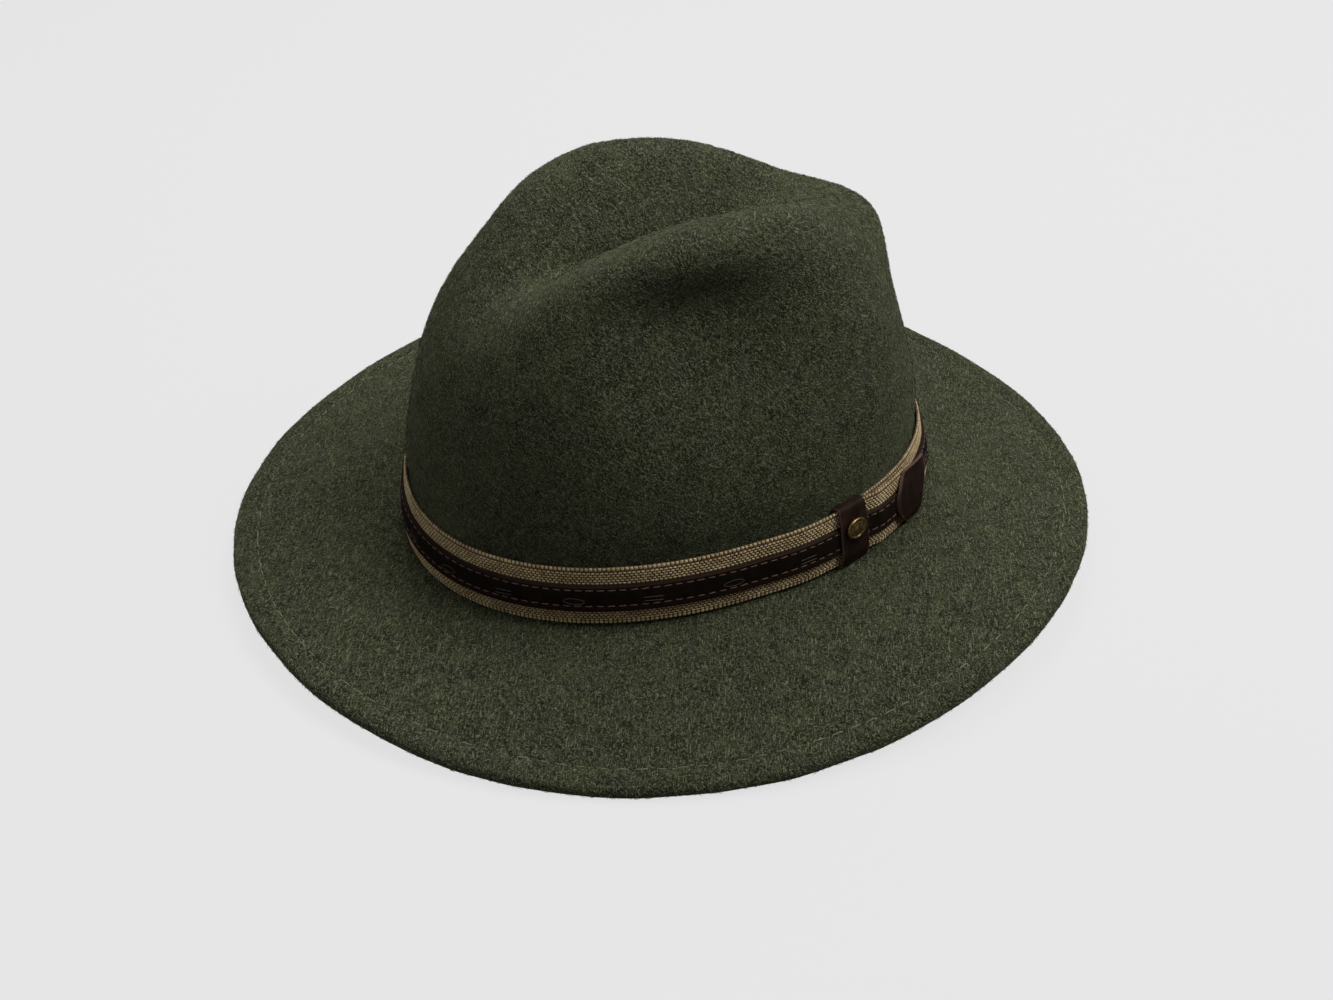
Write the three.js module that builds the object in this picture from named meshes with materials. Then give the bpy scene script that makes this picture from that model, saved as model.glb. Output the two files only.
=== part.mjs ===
// Wool felt hat with a creased crown, a stitched brim and a webbing band.
// Millimetres, +Z up. The hat stands on the lowest points of its brim at Z = 0.
// The front of the hat points to -Y and the wearer's left to +X. An angle round
// the hat is in degrees, 0 at the front, and grows towards the wearer's left.
// "Rise" is the height above the line where the crown meets the brim.
import * as THREE from 'three';

// Felt and the oval of the head
const feltThickness = 2.6;
const headHalfWidth = 86.9;
const headHalfLength = 102.7;
const crownBehindBrimCentre = 3.2;

// Line where crown and brim meet: its height dips at the front and the back
const breakHeight = 11.5;
const breakFrontLift = 0.2;
const breakSideLift = 3.2;

// Brim: width from the oval, and height of its edge, as waves round the hat
const weltThickness = 4.6;
const weltWidth = 10;
const weltStep = 0.6;
const brimWidth = 66.4;
const brimWidthWaves = [
  { waves: 1, cosine: 2.8, sine: 0 },
  { waves: 2, cosine: -6.1, sine: 0 },
  { waves: 3, cosine: 0.4, sine: 0 },
];
const brimEdgeHeight = 5.6;
const brimEdgeWaves = [
  { waves: 1, cosine: -0.7, sine: 1.2 },
  { waves: 2, cosine: -0.6, sine: -1.1 },
  { waves: 3, cosine: 3.2, sine: -0.1 },
];
const brimDropBelowBand = 1.5;
const brimEase = 1.3;
const innerCorner = { back: 0.8, above: 0.4 };

// Crown block before it is dented
const crownHeight = 126;
const crownForwardSlope = 0.072;
const crownArchOver100 = 10.4;
const crownTaper = 0.069;
const sideRoundness = 3.5;
const topRoundness = 2.34;
const backSideRoundness = 0.6;
const backTopRoundness = 0.15;
const headOvalPower = 2.01;
const tipOvalPower = 1.88;

// Dents pressed into the crown
const crease = {
  depth: 32.2,
  halfWidth: 25,
  narrowing: -0.086,
  centreY: -5.5,
  frontReach: 77.8,
  backReach: 61.1,
  power: 3.25,
};
const frontDip = { depth: 3.6, halfWidth: 34.8, centreY: -82.1, reachY: 22 };
const sidePinch = { depth: 22, centreY: -17, centreZ: 94, reachY: 38, reachUp: 16.5, reachDown: 34, blend: 34 };
const backCorner = { out: 9.7, up: 3.8, halfWidth: 36.7, centreY: 80.4, centreZ: 90.3, reach: 13.9 };
const backHollow = { depth: 1.2, halfWidth: 60, centreY: 95, centreZ: 55, reach: 25 };
const bandCinch = { depth: 1.1, fullAt: 20, easesFrom: 22.2, easesTo: 31 };

// Band, laid once round the crown with its end over its own beginning
const gap = 0.3;
const webbingThickness = 1;
const leatherThickness = 0.9;
const bandHeight = 21.7;
const stripLow = 5.4;
const stripHigh = 15.2;
const strapStart = 112.5;
const strapEnd = 127.5;
const overlapFrom = 93;
const overlapTo = 132;
const loopRamp = { from: 79.5, to: 93 };
const endRamp = { from: 107.25, to: 111.75 };
const endLift = { by: 1.4, from: 120, to: 128.5 };
const lowerFlare = { by: 1.8, angle: 143, reach: 14 };

// Keeper: a loop round the strap, whose front bends back at its top and bottom
const keeper = { from: 99.4, to: 106.7, fullFrom: 4.4, fullTo: 16.2, bend: 0.9 };
const stud = { angle: 103, rise: 14.2, halfWidth: 4.7, halfHeight: 3.9, thickness: 1.6, sides: 20 };

// Tip: the leather patch over the strap's end, bent back above and below the strip
const tip = { cornerAngle: 120.8, bulge: 4.4, lowEnd: 128, highEnd: 129.4, columns: 8 };
const tipRows = [
  { rise: 0.2, bend: 1 },
  { rise: 2.8, bend: 0.8 },
  { rise: 4.6, bend: 0 },
  { rise: 10.8, bend: 0 },
  { rise: 16, bend: 0 },
  { rise: 18.6, bend: 0.8 },
  { rise: 21.5, bend: 1 },
];

// Fineness of the faceted surfaces
const segmentsRound = 60;
const coarseStep = 360 / segmentsRound;
const fineStep = 1.5;
const wallRises = [30, 25.5, 22, 19, 11, 3.5];
const innerWallRises = [3, 16, 30];
const outerTopRings = 17;
const innerTopRings = 13;
const wallTopShare = 0.29;
const profileSamples = 400;
const tangentStep = 0.4;
const edgeTilts = [90, 50, 15, -15, -50, -90];
const upperBrimShares = [0.1, 0.3, 0.52, 0.74, 0.9];
const lowerBrimShares = [0.88, 0.66, 0.4, 0.18];

const radians = THREE.MathUtils.degToRad;

function wave(table, angle) {
  const turn = radians(angle);
  const part = (row) => row.cosine * Math.cos(row.waves * turn) + row.sine * Math.sin(row.waves * turn);
  return table.reduce((sum, row) => sum + part(row), 0);
}

function bell(distance, reach) {
  return Math.exp(-((distance / reach) ** 2));
}

// Horizontal point on the head oval, scaled, and its outward direction
function ovalPoint(angle, scale = 1, power = headOvalPower) {
  const across = Math.sin(radians(angle));
  const along = -Math.cos(radians(angle));
  const size = (Math.abs(across) ** power + Math.abs(along) ** power) ** (-1 / power);
  return new THREE.Vector3(headHalfWidth * across * size * scale, headHalfLength * along * size * scale, 0);
}

function outward(angle) {
  const across = Math.sin(radians(angle)) * headHalfLength;
  const along = -Math.cos(radians(angle)) * headHalfWidth;
  return new THREE.Vector3(across, along, 0).normalize();
}

function breakZ(angle) {
  const turn = radians(angle);
  return breakFrontLift * Math.cos(turn) - breakSideLift * Math.cos(2 * turn);
}

function roundnessAt(angle) {
  const back = Math.max(-Math.cos(radians(angle)), 0) ** 2;
  return { side: sideRoundness + backSideRoundness * back, top: topRoundness + backTopRoundness * back };
}

function blockHeight(y) {
  const along = y / 100;
  return crownHeight * (1 - crownForwardSlope * along) - crownHeight * (crownArchOver100 / 100) * along ** 2;
}

// Point on the outside of the crown; share is its height as a part of the block's
function crownPoint(angle, radiusShare, heightShare) {
  const power = headOvalPower + (tipOvalPower - headOvalPower) * heightShare;
  const point = ovalPoint(angle, radiusShare * (1 - crownTaper * heightShare), power);
  point.z = heightShare * blockHeight(point.y) + breakZ(angle) * (1 - heightShare);
  return dented(point, heightShare);
}

function dented(point, heightShare) {
  const fromCrease = point.y - crease.centreY;
  const reach = fromCrease < 0 ? crease.frontReach : crease.backReach;
  const lengthwise = Math.exp(-((Math.abs(fromCrease) / reach) ** crease.power));
  const crosswise = bell(point.x, crease.halfWidth + crease.narrowing * point.y);
  point.z -= crease.depth * crosswise * lengthwise * heightShare;
  const dip = bell(point.x, frontDip.halfWidth) * bell(point.y - frontDip.centreY, frontDip.reachY);
  point.z -= frontDip.depth * dip * heightShare ** 2;
  const abovePinch = point.z - sidePinch.centreZ;
  const pinchReach = abovePinch > 0 ? sidePinch.reachUp : sidePinch.reachDown;
  const pinch = bell(point.y - sidePinch.centreY, sidePinch.reachY) * bell(abovePinch, pinchReach);
  point.x -= sidePinch.depth * pinch * Math.tanh(point.x / sidePinch.blend);
  const corner = bell(point.x, backCorner.halfWidth)
    * bell(point.y - backCorner.centreY, backCorner.reach)
    * bell(point.z - backCorner.centreZ, backCorner.reach);
  const hollow = bell(point.x, backHollow.halfWidth)
    * bell(point.y - backHollow.centreY, backHollow.reach)
    * bell(point.z - backHollow.centreZ, backHollow.reach);
  point.y += backCorner.out * corner - backHollow.depth * hollow;
  point.z += backCorner.up * corner;
  return point;
}

// The block's profile: how far in the wall is at a share of the full height
function radiusShareAt(angle, heightShare) {
  const { side, top } = roundnessAt(angle);
  return (1 - Math.max(heightShare, 0) ** top) ** (1 / side);
}

// Point beside the lower wall, out millimetres from the felt's outer face
function wallPoint(angle, rise, out) {
  const nearlyThere = rise / (blockHeight(ovalPoint(angle).y) - breakZ(angle));
  const share = radiusShareAt(angle, nearlyThere) * (1 - crownTaper * nearlyThere);
  const squeezed = THREE.MathUtils.smoothstep(rise, 0, bandCinch.fullAt)
    * (1 - THREE.MathUtils.smoothstep(rise, bandCinch.easesFrom, bandCinch.easesTo));
  const point = ovalPoint(angle, share).addScaledVector(outward(angle), out - bandCinch.depth * squeezed);
  point.z = breakZ(angle) + rise;
  return point;
}

// Heights and radii of rings that lie evenly along the block's profile
function evenTopRings(angle, count, startShare) {
  const { side, top } = roundnessAt(angle);
  const start = Math.asin(startShare ** (top / 2));
  const path = [];
  let length = 0;
  let last = null;
  for (let i = 0; i <= profileSamples; i += 1) {
    const turn = start + (Math.PI / 2 - start) * (i / profileSamples);
    const row = { radius: Math.cos(turn) ** (2 / side), height: Math.sin(turn) ** (2 / top), length: 0 };
    if (last) {
      const inwards = (row.radius - last.radius) * headHalfLength;
      length += Math.hypot(inwards, (row.height - last.height) * crownHeight);
    }
    row.length = length;
    path.push(row);
    last = row;
  }
  const rings = [];
  for (let k = 1; k < count; k += 1) {
    rings.push(path.find((row) => row.length >= (length * k) / count));
  }
  return rings;
}

// Point on the inside of the felt, one thickness behind the outer face
function insidePoint(angle, ring) {
  const { side, top } = roundnessAt(angle);
  const turn = Math.atan2(ring.height ** (top / 2), ring.radius ** (side / 2));
  const around = (step) => crownPoint(angle + step, ring.radius, ring.height);
  const along = (step) => {
    const tilt = turn + radians(step);
    return crownPoint(angle, Math.cos(tilt) ** (2 / side), Math.sin(tilt) ** (2 / top));
  };
  const sideways = around(tangentStep).sub(around(-tangentStep));
  const upward = along(tangentStep).sub(along(-tangentStep));
  return along(0).addScaledVector(sideways.cross(upward).normalize(), -feltThickness);
}

function brimEdgeZ(angle) {
  return brimEdgeHeight - breakHeight + wave(brimEdgeWaves, angle);
}

function brimSpan(angle) {
  return brimWidth + wave(brimWidthWaves, angle);
}

// Point on the top of the brim, inset millimetres in from its edge, then lowered
function brimPoint(angle, inset, drop) {
  const share = 1 - inset / brimSpan(angle);
  const inner = breakZ(angle) - brimDropBelowBand;
  const outer = brimEdgeZ(angle) + weltThickness / 2;
  const point = ovalPoint(angle).addScaledVector(outward(angle), brimSpan(angle) * share);
  point.z = inner + (outer - inner) * (1 - (1 - share) ** brimEase) - drop;
  return point;
}

function ringOf(pointAt) {
  return Array.from({ length: segmentsRound }, (_, k) => pointAt(k * coarseStep));
}

// Rings of the crown above its wall, from the tip down
function topRings(count, place) {
  const rings = [];
  for (let k = count - 2; k >= 0; k -= 1) {
    rings.push(ringOf((angle) => place(angle, evenTopRings(angle, count, wallTopShare)[k])));
  }
  return rings;
}

// One shell from the tip's outside, over the brim's edge, to the tip's inside
function feltRings() {
  const outside = (angle, ring) => crownPoint(angle, ring.radius, ring.height);
  const tipTop = crownPoint(0, 0, 1);
  const rings = [[tipTop], ...topRings(outerTopRings, outside)];
  wallRises.forEach((rise) => rings.push(ringOf((angle) => wallPoint(angle, rise, 0))));
  rings.push(ringOf((angle) => brimPoint(angle, brimSpan(angle), 0)));
  upperBrimShares.forEach((share) => {
    rings.push(ringOf((angle) => brimPoint(angle, (1 - share) * brimSpan(angle), 0)));
  });
  const round = weltThickness / 2;
  edgeTilts.forEach((tilt) => {
    const inset = round * (1 - Math.cos(radians(tilt)));
    const drop = round * (1 - Math.sin(radians(tilt)));
    rings.push(ringOf((angle) => brimPoint(angle, inset, drop)));
  });
  rings.push(ringOf((angle) => brimPoint(angle, weltWidth, weltThickness)));
  rings.push(ringOf((angle) => brimPoint(angle, weltWidth + weltStep, feltThickness)));
  lowerBrimShares.forEach((share) => {
    rings.push(ringOf((angle) => brimPoint(angle, (1 - share) * brimSpan(angle), feltThickness)));
  });
  const cornerRise = innerCorner.above - brimDropBelowBand - feltThickness;
  rings.push(ringOf((angle) => wallPoint(angle, cornerRise, -innerCorner.back)));
  innerWallRises.forEach((rise) => rings.push(ringOf((angle) => wallPoint(angle, rise, -feltThickness))));
  rings.push(...topRings(innerTopRings, insidePoint).reverse());
  rings.push([new THREE.Vector3(tipTop.x, tipTop.y, tipTop.z - feltThickness)]);
  return rings;
}

// Mesh from points and triangles, in the frame that stands on the floor
function meshOf(name, points, triangles, material) {
  const geometry = new THREE.BufferGeometry();
  const numbers = points.flatMap((point) => point.toArray());
  geometry.setAttribute('position', new THREE.Float32BufferAttribute(numbers, 3));
  geometry.setIndex(triangles.flat());
  geometry.computeVertexNormals();
  const mesh = new THREE.Mesh(geometry, material);
  mesh.name = name;
  return mesh;
}

function shellMesh(name, rings, material) {
  const starts = [];
  let total = 0;
  rings.forEach((ring) => {
    starts.push(total);
    total += ring.length;
  });
  const triangles = [];
  for (let k = 0; k + 1 < rings.length; k += 1) {
    for (let j = 0; j < segmentsRound; j += 1) {
      const next = (j + 1) % segmentsRound;
      const vertex = (ring, place) => starts[ring] + (rings[ring].length === 1 ? 0 : place);
      const [a, b] = [vertex(k, j), vertex(k, next)];
      const [d, c] = [vertex(k + 1, j), vertex(k + 1, next)];
      if (c !== d) triangles.push([a, d, c]);
      if (a !== b) triangles.push([a, c, b]);
    }
  }
  return meshOf(name, rings.flat(), triangles, material);
}

// Sheet between two faces, whose points are counted along the band and up it
function sheetMesh(name, columns, rows, innerAt, outerAt, material) {
  const points = [];
  for (const place of [innerAt, outerAt]) {
    for (let i = 0; i < columns; i += 1) {
      for (let j = 0; j < rows; j += 1) points.push(place(i, j));
    }
  }
  const inner = (i, j) => i * rows + j;
  const outer = (i, j) => columns * rows + i * rows + j;
  const triangles = [];
  const quad = (a, b, c, d) => triangles.push([a, b, c], [a, c, d]);
  for (let i = 0; i + 1 < columns; i += 1) {
    for (let j = 0; j + 1 < rows; j += 1) {
      quad(outer(i, j), outer(i + 1, j), outer(i + 1, j + 1), outer(i, j + 1));
      quad(inner(i, j), inner(i, j + 1), inner(i + 1, j + 1), inner(i + 1, j));
    }
    quad(inner(i, 0), inner(i + 1, 0), outer(i + 1, 0), outer(i, 0));
    quad(outer(i, rows - 1), outer(i + 1, rows - 1), inner(i + 1, rows - 1), inner(i, rows - 1));
  }
  for (let j = 0; j + 1 < rows; j += 1) {
    quad(outer(0, j), outer(0, j + 1), inner(0, j + 1), inner(0, j));
    quad(inner(columns - 1, j), inner(columns - 1, j + 1), outer(columns - 1, j + 1), outer(columns - 1, j));
  }
  return meshOf(name, points, triangles, material);
}

// Angles along a strap that runs on past a full turn, close together at the overlap
function strapAngles(from, to) {
  const angles = [from];
  for (let k = Math.floor(from / fineStep) + 1; k * fineStep < to; k += 1) {
    const angle = k * fineStep;
    const place = angle % 360;
    const fine = place >= overlapFrom && place <= overlapTo;
    if (fine || angle % coarseStep === 0) angles.push(angle);
  }
  angles.push(to);
  return angles;
}

// How far the strap's inner face stands off the felt, along its own length
function strapStandOff(angle, rise) {
  const onTop = angle - 360;
  const { smoothstep } = THREE.MathUtils;
  const loopBack = leatherThickness + gap;
  const layerBelow = webbingThickness + leatherThickness + 2 * gap;
  const climb = loopBack * smoothstep(onTop, loopRamp.from, loopRamp.to)
    + (layerBelow - loopBack) * smoothstep(onTop, endRamp.from, endRamp.to)
    + endLift.by * smoothstep(onTop, endLift.from, endLift.to);
  const flare = lowerFlare.by * bell((angle % 360) - lowerFlare.angle, lowerFlare.reach);
  return gap + climb + flare * (1 - rise / bandHeight);
}

function strapMesh(name, rises, lift, thickness, material) {
  const angles = strapAngles(strapStart, strapEnd + 360);
  const pointAt = (angle, rise, out) => wallPoint(angle, rise, strapStandOff(angle, rise) + out);
  const face = (extra) => (i, j) => pointAt(angles[i], rises[j], lift + extra);
  return sheetMesh(name, angles.length, rises.length, face(0), face(thickness), material);
}

const stripLift = webbingThickness + gap;
const coverLift = stripLift + leatherThickness + gap;

// Leather patch over the strap's end, with a curved edge towards the keeper
function tipMesh(material) {
  const low = tipRows[0].rise;
  const high = tipRows[tipRows.length - 1].rise;
  const middle = (low + high) / 2;
  const angleAt = (share, rise) => {
    const start = tip.cornerAngle - tip.bulge * (1 - ((rise - middle) / (high - middle)) ** 2);
    const end = THREE.MathUtils.mapLinear(rise, low, high, tip.lowEnd, tip.highEnd);
    return THREE.MathUtils.lerp(start, end, share);
  };
  const face = (extra) => (i, j) => {
    const { rise, bend } = tipRows[j];
    const angle = angleAt(i / (tip.columns - 1), rise);
    return wallPoint(angle, rise, strapStandOff(angle + 360, rise) + coverLift - bend + extra);
  };
  return sheetMesh('strap_tip', tip.columns, tipRows.length, face(0), face(leatherThickness), material);
}

// Section of the loop at an angle, on its inner face or grown out to its outer one
function keeperSection(angle, grow) {
  const low = -gap - grow;
  const high = bandHeight + gap + grow;
  const back = gap + leatherThickness - grow;
  const front = (rise) => strapStandOff(angle + 360, rise) + coverLift + grow;
  return [
    wallPoint(angle, low, back),
    wallPoint(angle, low, front(low) - keeper.bend),
    wallPoint(angle, keeper.fullFrom, front(keeper.fullFrom)),
    wallPoint(angle, keeper.fullTo, front(keeper.fullTo)),
    wallPoint(angle, high, front(high) - keeper.bend),
    wallPoint(angle, high, back),
  ];
}

// Leather loop right round the strap, behind it too
function keeperMesh(material) {
  const angles = [keeper.from];
  for (let angle = Math.ceil(keeper.from / fineStep) * fineStep; angle < keeper.to; angle += fineStep) {
    angles.push(angle);
  }
  angles.push(keeper.to);
  const points = angles.flatMap((angle) => [
    ...keeperSection(angle, leatherThickness),
    ...keeperSection(angle, 0),
  ]);
  const sides = keeperSection(keeper.from, 0).length;
  const triangles = [];
  const quad = (a, b, c, d) => triangles.push([a, b, c], [a, c, d]);
  for (let side = 0; side < sides; side += 1) {
    const next = (side + 1) % sides;
    for (let i = 0; i + 1 < angles.length; i += 1) {
      const here = i * sides * 2;
      const there = here + sides * 2;
      quad(here + side, there + side, there + next, here + next);
      quad(here + sides + side, here + sides + next, there + sides + next, there + sides + side);
    }
    const last = (angles.length - 1) * sides * 2;
    quad(side, next, sides + next, sides + side);
    quad(last + side, last + sides + side, last + sides + next, last + next);
  }
  return meshOf('keeper_loop', points, triangles, material);
}

// Plain oval brass stud, domed, with its flat back to the keeper
function studMesh(material) {
  const profile = [[0, 0], [1, 0], [1, 0.35], [0.88, 0.62], [0.6, 0.88], [0.25, 1], [0, 1]]
    .map(([radius, height]) => new THREE.Vector2(radius, height));
  const geometry = new THREE.LatheGeometry(profile, stud.sides);
  geometry.scale(stud.halfWidth, stud.thickness, stud.halfHeight);
  const mesh = new THREE.Mesh(geometry, material);
  mesh.name = 'keeper_stud';
  const off = strapStandOff(stud.angle + 360, stud.rise) + coverLift + leatherThickness + gap;
  const centre = wallPoint(stud.angle, stud.rise, off);
  const below = wallPoint(stud.angle, stud.rise - stud.halfHeight, off);
  const up = wallPoint(stud.angle, stud.rise + stud.halfHeight, off).sub(below).normalize();
  const along = new THREE.Vector3(0, 0, 1).cross(outward(stud.angle));
  const facing = along.clone().cross(up).normalize();
  const basis = new THREE.Matrix4().makeBasis(along, facing, along.clone().cross(facing));
  mesh.quaternion.setFromRotationMatrix(basis);
  mesh.position.copy(centre);
  return mesh;
}

const felt = new THREE.MeshStandardMaterial({ color: 0x343a28, roughness: 0.95, metalness: 0 });
const webbing = new THREE.MeshStandardMaterial({ color: 0x86704b, roughness: 0.85, metalness: 0 });
const leather = new THREE.MeshStandardMaterial({ color: 0x2a1c18, roughness: 0.5, metalness: 0 });
const brass = new THREE.MeshStandardMaterial({ color: 0xb28f55, roughness: 0.35, metalness: 1 });

const hat = new THREE.Group();
hat.name = 'wool_felt_hat';
hat.position.set(0, crownBehindBrimCentre, breakHeight);
hat.add(
  shellMesh('felt_body', feltRings(), felt),
  strapMesh('band_webbing', [0, bandHeight / 2, bandHeight], 0, webbingThickness, webbing),
  strapMesh('leather_strip', [stripLow, stripHigh], stripLift, leatherThickness, leather),
  keeperMesh(leather),
  tipMesh(leather),
  studMesh(brass),
);

export default hat;
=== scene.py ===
"""Looks of a wool felt hat with a stitched brim and a leather-trimmed webbing band.

Sizes are in millimetres in the hat's own frame: the front points to -Y, the wearer's
left to +X, and heights are counted from the mean line where crown and brim meet.
Angles are in degrees round the hat, 0 at the front and growing towards the wearer's
left. HatForm.place turns such points into metres on the floor.
"""

import logging
import math
from collections.abc import Sequence
from dataclasses import dataclass
from enum import Enum
from typing import NamedTuple

import bpy
import numpy as np
from mathutils import Euler, Matrix, Vector, noise


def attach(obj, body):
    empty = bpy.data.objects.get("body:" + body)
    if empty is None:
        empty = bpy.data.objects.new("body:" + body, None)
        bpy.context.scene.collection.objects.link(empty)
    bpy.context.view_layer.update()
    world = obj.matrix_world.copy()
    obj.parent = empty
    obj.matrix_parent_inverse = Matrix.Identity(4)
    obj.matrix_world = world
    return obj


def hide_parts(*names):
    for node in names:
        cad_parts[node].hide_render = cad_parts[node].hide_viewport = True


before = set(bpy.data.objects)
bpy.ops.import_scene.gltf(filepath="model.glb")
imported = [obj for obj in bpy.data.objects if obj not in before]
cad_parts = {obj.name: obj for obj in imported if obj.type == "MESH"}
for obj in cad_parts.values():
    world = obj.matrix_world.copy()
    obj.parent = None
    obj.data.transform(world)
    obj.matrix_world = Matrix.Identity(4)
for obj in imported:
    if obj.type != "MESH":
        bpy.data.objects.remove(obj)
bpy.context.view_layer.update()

log = logging.getLogger("hat")

MM = 0.001
PHOTO_WIDTH = 1333
SHARP_ANGLE = 50
NEXT_ANGLE = 0.2
NEXT_RISE = 0.5
WHITE = (1, 1, 1, 1)
Array = np.ndarray
Colour = tuple[float, float, float]
Turn = tuple[float, float, float]
Faces = Sequence[Sequence[int]]


def bell(distance: Array, reach: Array | float) -> Array:
    """Smooth bump that is 1 at no distance and fades over the reach."""
    return np.exp(-((distance / reach) ** 2))


def smoothstep(value: Array, low: float, high: float) -> Array:
    """Smooth climb from 0 at the low value to 1 at the high one."""
    share = np.clip((value - low) / (high - low), 0, 1)
    return share * share * (3 - 2 * share)


def graded(low: float, high: float, inset: float, count: int, near: Sequence[float] = (0,)) -> Array:
    """Growing values, even in the middle and closer together at both ends.

    Args:
        low: The first value.
        high: The last value.
        inset: How far the even values stay from both ends.
        count: How many even values there are.
        near: Distances of the other values from each end.

    Returns:
        The values.
    """
    ends = np.array(near, float)
    middle = np.linspace(low + inset, high - inset, count)
    return np.concatenate([low + ends, middle, (high - ends)[::-1]])


def unit(vectors: Array) -> Array:
    """Vectors scaled to length 1 along their last axis."""
    return vectors / np.linalg.norm(vectors, axis=-1, keepdims=True)


def lumps(points: Array, size: float) -> Array:
    """Gentle noise from -1 to 1 at each point.

    Args:
        points: Points in millimetres, in any array shape that ends in 3.
        size: Rough width of one lump in millimetres.

    Returns:
        One value for each point, in the same shape without its last axis.
    """
    flat = (points / size).reshape(-1, 3).tolist()
    values = np.array([noise.noise(Vector(point)) for point in flat])
    return values.reshape(points.shape[:-1])


@dataclass(frozen=True)
class Wave:
    """One wave of a width or a height round the hat."""

    waves: int
    cosine: float
    sine: float = 0.0

    def at(self, angle: Array) -> Array:
        """Height of this wave at each angle."""
        turn = np.radians(angle) * self.waves
        return self.cosine * np.cos(turn) + self.sine * np.sin(turn)


@dataclass(frozen=True)
class Crease:
    """The long dent pressed into the top of the crown."""

    depth: float = 32.2
    half_width: float = 25
    narrowing: float = -0.086
    centre_y: float = -5.5
    front_reach: float = 77.8
    back_reach: float = 61.1
    power: float = 3.25

    def depth_at(self, x: Array, y: Array) -> Array:
        """Depth of the crease at a place on the crown.

        Args:
            x: Places across the hat.
            y: Places along it.

        Returns:
            The depth, never negative.
        """
        along = y - self.centre_y
        reach = np.where(along < 0, self.front_reach, self.back_reach)
        lengthwise = np.exp(-((np.abs(along) / reach) ** self.power))
        return self.depth * lengthwise * bell(x, self.half_width + self.narrowing * y)


@dataclass(frozen=True)
class SidePinch:
    """The two finger dents at the front sides of the crown."""

    depth: float = 22
    centre_y: float = -17
    centre_z: float = 94
    reach_y: float = 38
    reach_up: float = 16.5
    reach_down: float = 34
    blend: float = 34

    def shift_at(self, x: Array, y: Array, z: Array) -> Array:
        """How far places on the crown are pushed in.

        Args:
            x: Places across the hat.
            y: Places along it.
            z: Heights above the break.

        Returns:
            The distance to take off X, with the sign of the side.
        """
        above = z - self.centre_z
        reach = np.where(above > 0, self.reach_up, self.reach_down)
        push = self.depth * bell(y - self.centre_y, self.reach_y) * bell(above, reach)
        return push * np.tanh(x / self.blend)


@dataclass(frozen=True)
class SoftBump:
    """A round swelling or dip of the crown, widest across the hat."""

    half_width: float
    centre_y: float
    centre_z: float
    reach: float

    def at(self, x: Array, y: Array, z: Array) -> Array:
        """Strength of the bump, from 0 to 1."""
        across = bell(x, self.half_width)
        return across * bell(y - self.centre_y, self.reach) * bell(z - self.centre_z, self.reach)


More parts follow.
